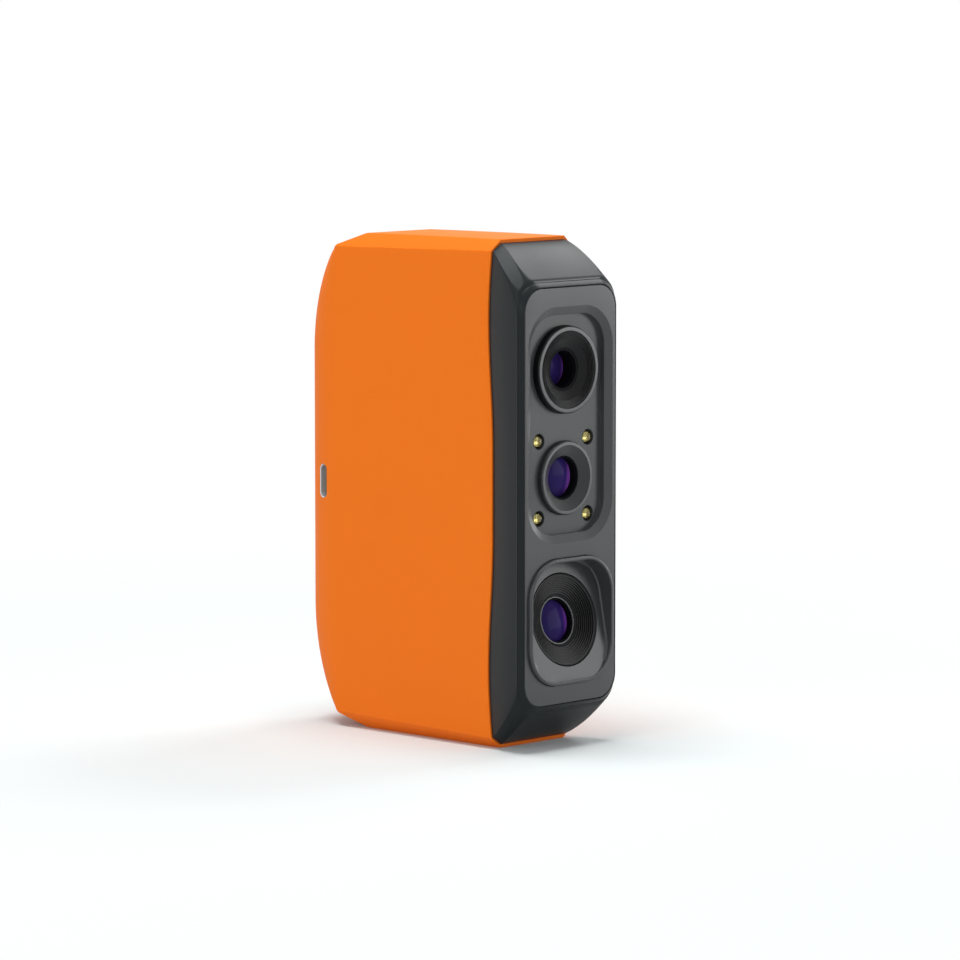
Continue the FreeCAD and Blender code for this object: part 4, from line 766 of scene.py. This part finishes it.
def funnel_profile(outer, cone, aperture, deep, grooves, groove_end):
    """A ring's profile: rounded front, fine steps and a smooth cone down to the throat."""
    start = 0.22
    corners = [(outer, RING_TAIL), (outer, RING_EDGE, 0.3), (outer - RING_EDGE, 0.03, 0.2),
               (cone + 0.2, 0.03, 0.1), (cone, start, 0.1)]
    slope = (deep - start) / (cone - aperture)
    tread = (cone - groove_end) / max(grooves, 1)
    for index in range(grooves):
        radius = cone - tread * (index + 1)
        before = start + slope * tread * index
        corners += [(radius + 0.14, before + 0.03, 0.02), (radius + 0.10, before - 0.09, 0.02),
                    (radius, before - 0.09, 0.02), (radius, before + slope * tread, 0.02)]
    return corners + [(aperture, deep, 0.1)]


def glass(name, node, matrix, radius, front, bulge):
    """A domed lens, thick enough to close its barrel."""
    curve = (radius ** 2 + bulge ** 2) / (2 * bulge)
    reach = math.asin(radius / curve)
    steps = 16
    profile = []
    for step in range(steps + 1):
        angle = reach * step / steps
        profile.append((curve * math.sin(angle), front + curve * (1 - math.cos(angle))))
    profile += [(radius, front + GLASS_THICKNESS), (0, front + GLASS_THICKNESS)]
    finished(name, revolved(profile, matrix, 96), BODY, LENS_GLASS, [node], 35)


def painted_highlight_ring(name, matrix, inner, outer, front):
    """A narrow paler band let into the front of a ring: a painted highlight where the ring's
    rounded front would catch the light.
    """
    back = front + 0.3
    section = rounded_profile([(inner, front), (outer, front), (outer, back), (inner, back)],
                              0.1, 5)
    finished(name, revolved(section, matrix, 160, True), BODY, PAINTED_HIGHLIGHT_GREY, (), 30)


def lens_unit(prefix, node, matrix, material, outer, cone, aperture, deep, grooves, groove_end,
              glass_radius, glass_front, bulge, barrel, highlight_band):
    """One optical unit's visible parts: its ring with a paler band of painted highlight, its
    barrel's lip, its glass.
    """
    painted_highlight_ring(prefix + "_ring_painted_highlight", matrix, *highlight_band)
    bore = barrel + 0.05
    corners = funnel_profile(outer, cone, aperture, deep, grooves, groove_end)
    corners += [(aperture, deep + 0.4, 0.08), (bore, deep + 0.42, 0.05), (bore, RING_TAIL)]
    finished(prefix + "_ring_turned", revolved(rounded_profile(corners), matrix, 160, True), BODY,
             material, [prefix + "_ring"], 30)
    mouth = aperture + 0.5
    inner = glass_radius - 0.35
    ledge = glass_front + bulge + 0.1
    back = glass_front + 3
    lip = [(mouth, deep + 0.45), (mouth, deep + 0.5), (glass_radius + 0.25, deep + 0.52),
           (glass_radius, deep + 0.75, 0.1), (glass_radius, ledge), (inner, ledge),
           (inner, back), (barrel, back), (barrel, deep + 0.45)]
    finished(prefix + "_barrel_lip", revolved(rounded_profile(lip, 0.06), matrix, 128, True), BODY,
             BARREL_BLACK, (), 30)
    glass(prefix + "_glass", node, matrix, glass_radius - 0.02, glass_front, bulge)


def lens_hood():
    """The depth camera's hood: a raised rim, a dished pocket with a sloped floor, and its bore."""
    size = (high("lens_hood") - low("lens_hood")) / 2
    centre = middle("lens_hood")
    front = low("lens_hood").y
    pivot = Vector((0, DEPTH_PIVOT_Y, DEPTH_PIVOT_Z))
    slant = math.tan(math.radians(DEPTH_TILT))
    tilt = Matrix.Translation(pivot) @ Matrix.Rotation(math.radians(-DEPTH_TILT), 4, "X")

    def outline(inset, y):
        return rectangle_at(size.x, size.z, HOOD_CORNER, inset, y, centre.z, 24, 16)

    def floor_point(point, lift=0.0):
        y = pivot.y + (point.z - pivot.z) * slant - lift
        return Vector((point.x, max(y, front + 0.12), point.z))

    def wall_point(point):
        deepest = max(floor_point(point).y - 0.5, front + 0.2)
        return Vector((point.x, min(max(point.y, front + 0.3), deepest), point.z))

    loops = [outline(0, front + HOOD_DEPTH), outline(0, front + HOOD_ROUND)]
    loops += [outline(HOOD_ROUND * (1 - math.cos(angle)),
                      front + HOOD_ROUND * (1 - math.sin(angle))) for angle in quarter(5, 1)]
    loops += [outline(HOOD_RIM - HOOD_LIP + HOOD_LIP * math.sin(angle),
                      front + HOOD_LIP * (1 - math.cos(angle))) for angle in quarter(5)]
    wall = outline(HOOD_RIM, front + 0.3)
    loops.append([wall_point(p) for p in wall])
    loops.append([floor_point(p, 0.3 if floor_point(p).y > front + 0.8 else 0) for p in wall])
    foot = outline(HOOD_RIM + HOOD_WALL, front)
    floor = [floor_point(p) for p in foot]

    def circle(radius, depth):
        points = []
        for point in foot:
            angle = math.atan2(point.z - centre.z, point.x)
            points.append(tilt @ Vector((radius * math.cos(angle), depth,
                                         radius * math.sin(angle))))
        return points

    bore = circle(DEPTH_OUTER + 0.08, 0)
    loops.append(floor)
    loops += [[a.lerp(b, share) for a, b in zip(floor, bore)] for share in (0.25, 0.5, 0.75)]
    loops += [bore, circle(DEPTH_OUTER + BORE_GAP, 0.08), circle(DEPTH_OUTER + BORE_GAP, 3.0),
              outline(0.6, front + HOOD_DEPTH)]
    finished("hood_shell", lofted(loops, joined=True), BODY, HOOD_PAINTED_LIGHT_GREY,
             ["lens_hood"], 40)
    return tilt


def optics():
    """The three units, the four fill lights and the hood."""
    wide, slim = RING_RADIUS["projector_ring"], RING_RADIUS["colour_ring"]
    lens_unit("projector", "projector_front_lens", seat("projector_ring"), RING_BLACK,
              outer=wide, cone=9.3, aperture=5.3, deep=1.9, grooves=5, groove_end=7.6,
              glass_radius=4.5, glass_front=5.6, bulge=0.6, barrel=7.4,
              highlight_band=(wide - 1.15, wide - 0.3, 0))
    lens_unit("colour", "colour_lens", seat("colour_ring"), RING_GREY,
              outer=slim, cone=8.0, aperture=5.4, deep=1.5, grooves=0, groove_end=8.0,
              glass_radius=5.0, glass_front=3.1, bulge=0.8, barrel=6.0,
              highlight_band=(slim - 0.95, slim - 0.25, 0))
    lens_unit("depth", "depth_lens", lens_hood(), RING_BLACK,
              outer=DEPTH_OUTER, cone=11.1, aperture=5.7, deep=2.5, grooves=9, groove_end=6.6,
              glass_radius=5.3, glass_front=3.4, bulge=0.8, barrel=6.6,
              highlight_band=(5.62, 5.88, 2.4))
    fill_lights()


def fill_lights():
    """Four light chips, each a yellow die under a clear dome in a dark-rimmed hole."""
    front = low("fill_lights").y
    radius = LIGHT_RADIUS
    dome = [(radius * math.sin(angle), radius * (1 - math.cos(angle))) for angle in quarter(10)]
    dome += [(radius, radius + 0.15), (0, radius + 0.15)]
    base = radius + 0.17
    half_die = radius * 0.78
    die = rounded_profile([(0, base), (half_die, base), (half_die, base + 0.5), (0, base + 0.5)],
                          0.05)
    wall = LIGHT_HOLE - 0.03
    cup = rounded_profile([(wall - 0.32, 0.75), (wall, 0.5), (wall, 2.2), (radius + 0.05, 2.2),
                           (radius + 0.05, 1.5), (wall - 0.32, 0.75)], 0.08)
    domes, dies, cups = bmesh.new(), bmesh.new(), bmesh.new()
    for x, z in light_places():
        place = Matrix.Translation((x, front, z))
        turned(domes, dome, place, 48)
        turned(dies, die, place, 48)
        turned(cups, cup, place, 64)
    finished("fill_light_domes", domes, BODY, DOME_YELLOW, ["fill_lights"], 35)
    finished("fill_light_dies", dies, BODY, DIE_YELLOW, (), 35)
    finished("fill_light_cups", cups, BODY, RING_BLACK, (), 35)


# ---------------------------------------------------------------- port, button, light, tripod

def usb_port():
    """The port's rolled steel shell, the tongue inside it and the contacts on both its sides."""
    lowest, highest = low("usb_shell"), high("usb_shell")
    half_y = (highest.y - lowest.y) / 2
    half_z = (highest.z - lowest.z) / 2
    mouth = lowest.x - USB_REACH
    loops = [at_x(pill_outline(half_y - inset, half_z - inset), x, middle("usb_shell"))
             for x, inset in ((highest.x, 0), (mouth + 0.12, 0), (mouth + 0.03, 0.03),
                              (mouth, 0.1), (mouth, 0.22), (mouth + 0.05, 0.28),
                              (mouth + 0.15, USB_SHEET), (highest.x - 0.6, USB_SHEET))]
    finished("usb_shell_rolled", lofted(loops), BODY, PORT_STEEL, ["usb_shell"], 40)
    lowest, highest = low("usb_tongue"), high("usb_tongue")
    centre = middle("usb_tongue")
    half = (highest - lowest) / 2
    loops = [at_x(rounded_rectangle(half.y - inset, half.z - inset, 0.22, 6), x, centre)
             for x, inset in ((highest.x, 0), (lowest.x + 0.3, 0), (lowest.x + 0.08, 0.04),
                              (lowest.x, 0.14))]
    finished("usb_tongue_moulded", lofted(loops), BODY, SWITCH_BLACK,
             ["usb_tongue"], 40)
    contacts = bmesh.new()
    for index in range(CONTACTS):
        z = centre.z + (index - (CONTACTS - 1) / 2) * CONTACT_PITCH
        for side in (-1, 1):
            y = centre.y + side * (half.y + 0.015)
            corners = [(x, y + dy, z + dz) for x in (lowest.x + 0.5, highest.x - 0.8)
                       for dy in (-0.02, 0.02) for dz in (-0.13, 0.13)]
            box = [contacts.verts.new(corner) for corner in corners]
            for face in ((0, 1, 3, 2), (4, 6, 7, 5), (0, 4, 5, 1), (2, 3, 7, 6), (0, 2, 6, 4),
                         (1, 5, 7, 3)):
                contacts.faces.new([box[corner] for corner in face])
    finished("usb_contacts", contacts, BODY, CONTACT_GOLD, (), 0)


def nose_depth(x, proud):
    """Where the upright part of the nose's surface lies at x, grown outwards by proud."""
    return REAR_Y - NOSE + (NOSE + proud) * math.sqrt(max(1 - (x / (HALF_WIDTH + proud)) ** 2, 0))


def scan_button():
    """The soft-touch scan button: a round-ended cap that follows the nose, with a thumb dish."""
    centre = middle("scan_button")
    inner = low("scan_button").y
    proud = high("scan_button").y - REAR_Y

    def outline(inset):
        return pill_outline(BUTTON_WIDTH / 2 - inset, BUTTON_LENGTH / 2 - inset, 20)

    def crown(inset, drop):
        return [Vector((x, nose_depth(x, proud) - drop, centre.z + z)) for x, z in outline(inset)]

    loops = [at_y(outline(inset), y, centre.z) for inset, y in (
        (-BUTTON_FLANGE, inner), (-BUTTON_FLANGE, inner + 1.0), (0, inner + 1.0))]
    loops += [crown(BUTTON_EDGE * (1 - math.cos(angle)), BUTTON_EDGE * (1 - math.sin(angle)))
              for angle in quarter(6)]
    steps = 12
    for step in range(1, steps):
        share = step / steps
        dish = BUTTON_DISH * (0.5 - 0.5 * math.cos(math.pi * min(share * 1.25, 1)))
        loops.append(crown(BUTTON_EDGE + (BUTTON_WIDTH / 2 - BUTTON_EDGE) * share, dish))
    finished("scan_button_cap", lofted(loops), BUTTON, BUTTON_GREY,
             ["scan_button"], 45)


def light_pipe():
    """The clear pipe of the status light, its end following the nose with a soft dome."""
    centre = middle("light_pipe")
    start = low("light_pipe").y
    radius = (high("light_pipe").x - low("light_pipe").x) / 2
    end = REAR_Y - NOSE + nose_reach(centre.z - HALF_HEIGHT) + 0.05
    shoulder = end - PIPE_SHOULDER
    profile = [(0, start), (radius, start), (radius, shoulder)]
    profile += [(radius * math.cos(angle), shoulder + PIPE_DOME * math.sin(angle))
                for angle in quarter(6, 1)]
    finished("status_light_pipe", revolved(profile, Matrix.Translation((0, 0, centre.z)), 48),
             BODY, CLEAR_PLASTIC, ["light_pipe"], 35)


def tripod_insert():
    """The brass insert with its quarter-inch thread and a countersunk mouth."""
    outer = high("tripod_insert").x
    top = high("tripod_insert").z
    bore = SOCKET_RADIUS + 0.02
    profile = [(0, top), (outer, top), (outer, 0.12), (outer - 0.12, 0.0),
               (SOCKET_RADIUS + 0.75, 0.0), (bore, 0.7), (bore, SOCKET_DEPTH), (0, SOCKET_DEPTH)]
    bm = revolved([(radius, -z) for radius, z in profile],
                  Matrix.Rotation(-math.pi / 2, 4, "X"), 96)
    per_turn = 48
    steps = THREAD_TURNS * per_turn
    root = SOCKET_RADIUS + 0.1
    rings = []
    for step in range(steps + 1):
        angle = 2 * math.pi * step / per_turn
        z = 0.9 + THREAD_PITCH * step / per_turn * 0.92
        fade = min(step / 12, (steps - step) / 12, 1)
        crest = SOCKET_RADIUS + 0.01 - THREAD_DEPTH * fade
        rings.append([bm.verts.new((radius * math.cos(angle), radius * math.sin(angle),
                                    z + height * THREAD_PITCH / 1.2))
                      for radius, height in ((root, -0.5), (crest, -0.08), (crest, 0.08),
                                             (root, 0.5))])
    for first, second in zip(rings, rings[1:]):
        for index in range(4):
            following = (index + 1) % 4
            bm.faces.new([first[index], first[following], second[following], second[index]])
    bm.faces.new(rings[0])
    bm.faces.new(rings[-1][::-1])
    finished("tripod_insert_threaded", bm, BODY, BRASS, ["tripod_insert"], 35)


# ---------------------------------------------------------------- studio

def seen_white(tree):
    """One where a ray comes straight from the camera, a reflection or a glass, else zero."""
    path = tree.nodes.new("ShaderNodeLightPath")
    either = path.outputs["Is Camera Ray"]
    for kind in ("Is Glossy Ray", "Is Transmission Ray"):
        larger = add(tree, "ShaderNodeMath", {"operation": "MAXIMUM"})
        tree.links.new(either, larger.inputs[0])
        tree.links.new(path.outputs[kind], larger.inputs[1])
        either = larger.outputs["Value"]
    return either


def blend(tree, share, first, second):
    """A mix of two shaders, with a share of the second."""
    mix = add(tree, "ShaderNodeMixShader", Fac=share)
    tree.links.new(first.outputs[0], mix.inputs[1])
    tree.links.new(second.outputs[0], mix.inputs[2])
    return mix


def studio():
    """A pale floor that keeps the object's shadow and fades into a white surround."""
    world = bpy.data.worlds.new("studio_surround")
    bpy.context.scene.world = world
    world.use_nodes = True
    tree = world.node_tree
    tree.nodes.clear()
    soft = add(tree, "ShaderNodeBackground", Color=(0.96, 0.98, 1.0, 1), Strength=WORLD_LIGHT)
    white = add(tree, "ShaderNodeBackground", Color=(1, 1, 1, 1), Strength=1.0)
    surround = blend(tree, seen_white(tree), soft, white)
    add(tree, "ShaderNodeOutputWorld", Surface=surround.outputs["Shader"])

    material, tree, principled = shader("pale_floor", (0.685, 0.708, 0.714), 0.7,
                                        Specular_IOR_Level=0.0)
    glow = add(tree, "ShaderNodeEmission", Color=(1, 1, 1, 1), Strength=FLOOR_GLOW)
    white = add(tree, "ShaderNodeEmission", Color=(1, 1, 1, 1), Strength=1.0)
    total = tree.nodes.new("ShaderNodeAddShader")
    tree.links.new(principled.outputs["BSDF"], total.inputs[0])
    tree.links.new(glow.outputs["Emission"], total.inputs[1])
    place = tree.nodes.new("ShaderNodeTexCoord")
    reach = add(tree, "ShaderNodeVectorMath", {"operation": "LENGTH"})
    tree.links.new(place.outputs["Object"], reach.inputs[0])
    ramp = add(tree, "ShaderNodeMapRange", {"interpolation_type": "SMOOTHSTEP"},
               Value=reach.outputs["Value"], From_Min=FADE_START, From_Max=FADE_END,
               To_Min=0.0, To_Max=1.0)
    fade = blend(tree, ramp.outputs["Result"], total, white)
    choice = blend(tree, seen_white(tree), principled, fade)
    feed(tree, tree.nodes["Material Output"], Surface=choice.outputs["Shader"])
    bm = bmesh.new()
    bmesh.ops.create_circle(bm, cap_ends=True, segments=64, radius=FLOOR_RADIUS)
    mesh = bpy.data.meshes.new("floor")
    bm.to_mesh(mesh)
    bm.free()
    mesh.materials.append(material)
    floor = bpy.data.objects.new("floor", mesh)
    bpy.context.scene.collection.objects.link(floor)


def lights():
    """Soft rectangular lamps overhead, on each side and in front, all pointing at the object."""
    centre = Vector((0, 0, HALF_HEIGHT * MM))
    for name, (direction, distance, size, power, colour) in LAMPS.items():
        data = bpy.data.lights.new(name, "AREA")
        data.shape = "RECTANGLE"
        data.size, data.size_y = size
        data.energy = power
        data.color = colour
        lamp = bpy.data.objects.new(name, data)
        bpy.context.scene.collection.objects.link(lamp)
        away = Vector(direction).normalized()
        lamp.location = centre + away * distance
        lamp.rotation_euler = away.to_track_quat("Z", "Y").to_euler()


def camera():
    """The camera that sees the front and the left side from a little above."""
    azimuth = math.radians(CAMERA_AZIMUTH)
    pitch = math.radians(CAMERA_PITCH)
    back = Vector((-math.sin(azimuth) * math.cos(pitch), -math.cos(azimuth) * math.cos(pitch),
                   math.sin(pitch)))
    right = Vector((math.cos(azimuth), -math.sin(azimuth), 0))
    up = back.cross(right)
    target = Vector((0, SEAM_Y + CAMERA_AIM, HALF_HEIGHT))
    place = target + back * CAMERA_DISTANCE + right * CAMERA_RIGHT + up * CAMERA_UP
    data = bpy.data.cameras.new("camera")
    data.lens = CAMERA_LENS
    data.sensor_width = CAMERA_SENSOR
    seen = bpy.data.objects.new("camera", data)
    bpy.context.scene.collection.objects.link(seen)
    seen.location = place * MM
    seen.rotation_euler = (-back).to_track_quat("-Z", "Y").to_euler()
    bpy.context.scene.camera = seen


# ---------------------------------------------------------------- CAD nodes that stay

def inner_materials():
    """A procedural material for each record slot of the CAD nodes that stay."""
    made = {"barrel_black": BARREL_BLACK, "emitter_yellow": DIE_YELLOW,
            "light_yellow": DIE_YELLOW, "switch_black": SWITCH_BLACK, "port_steel": PORT_STEEL}
    for name, colour, roughness, looks in (
            ("tape_black", (0.010, 0.010, 0.010), 0.7, {"strength": 0.25}),
            ("silicone_grey", (0.10, 0.10, 0.105), 0.6, {"strength": 0.2}),
            ("clear_glass", (0.9, 0.92, 0.93), 0.03,
             {"contrast": 0.01, "strength": 0.01, "Transmission_Weight": 1.0, "IOR": 1.5}),
            ("slide_glass", (0.30, 0.33, 0.35), 0.06, {"contrast": 0.3, "strength": 0.02}),
            ("cast_black", (0.013, 0.013, 0.014), 0.55, {"strength": 0.4}),
            ("holder_black", (0.014, 0.014, 0.015), 0.5, {"strength": 0.2}),
            ("sensor_dark", (0.02, 0.022, 0.04), 0.12, {"contrast": 0.2, "strength": 0.02}),
            ("board_green", (0.012, 0.085, 0.035), 0.35, {"contrast": 0.25}),
            ("board_black", (0.010, 0.011, 0.012), 0.35, {"contrast": 0.25}),
            ("chip_black", (0.014, 0.014, 0.015), 0.4, {"strength": 0.3}),
            ("pad_blue", (0.22, 0.38, 0.52), 0.75, {"strength": 0.3}),
            ("connector_white", (0.68, 0.66, 0.60), 0.45, {}),
            ("ribbon_amber", (0.42, 0.20, 0.03), 0.3, {"contrast": 0.12}),
            ("plunger_grey", (0.33, 0.33, 0.34), 0.5, {})):
        made[name] = moulded(name, colour, roughness, **looks)
    for name, colour, roughness in (("aluminium_bare", (0.75, 0.76, 0.77), 0.35),
                                    ("aluminium_bench", (0.50, 0.51, 0.53), 0.45),
                                    ("screw_steel", (0.18, 0.18, 0.19), 0.35)):
        made[name] = metal(name, colour, roughness)
    return made


def dress_cad_nodes():
    """Give each CAD node that stays the material of its record slot."""
    made = inner_materials()
    slots = {part["node"]: part["material_slot"] for part in frame["record"]["subparts"]}
    for name, node_object in frame["nodes"].items():
        if node_object.hide_render:
            continue
        material = made.get(slots.get(name), made["holder_black"])
        if len(node_object.material_slots) == 0:
            node_object.data.materials.append(material)
        for slot in node_object.material_slots:
            slot.material = material


orange_sleeve()
front_bezel()
face_plate()
optics()
usb_port()
scan_button()
light_pipe()
tripod_insert()
dress_cad_nodes()
studio()
lights()
camera()
bpy.context.scene.view_settings.view_transform = "Standard"
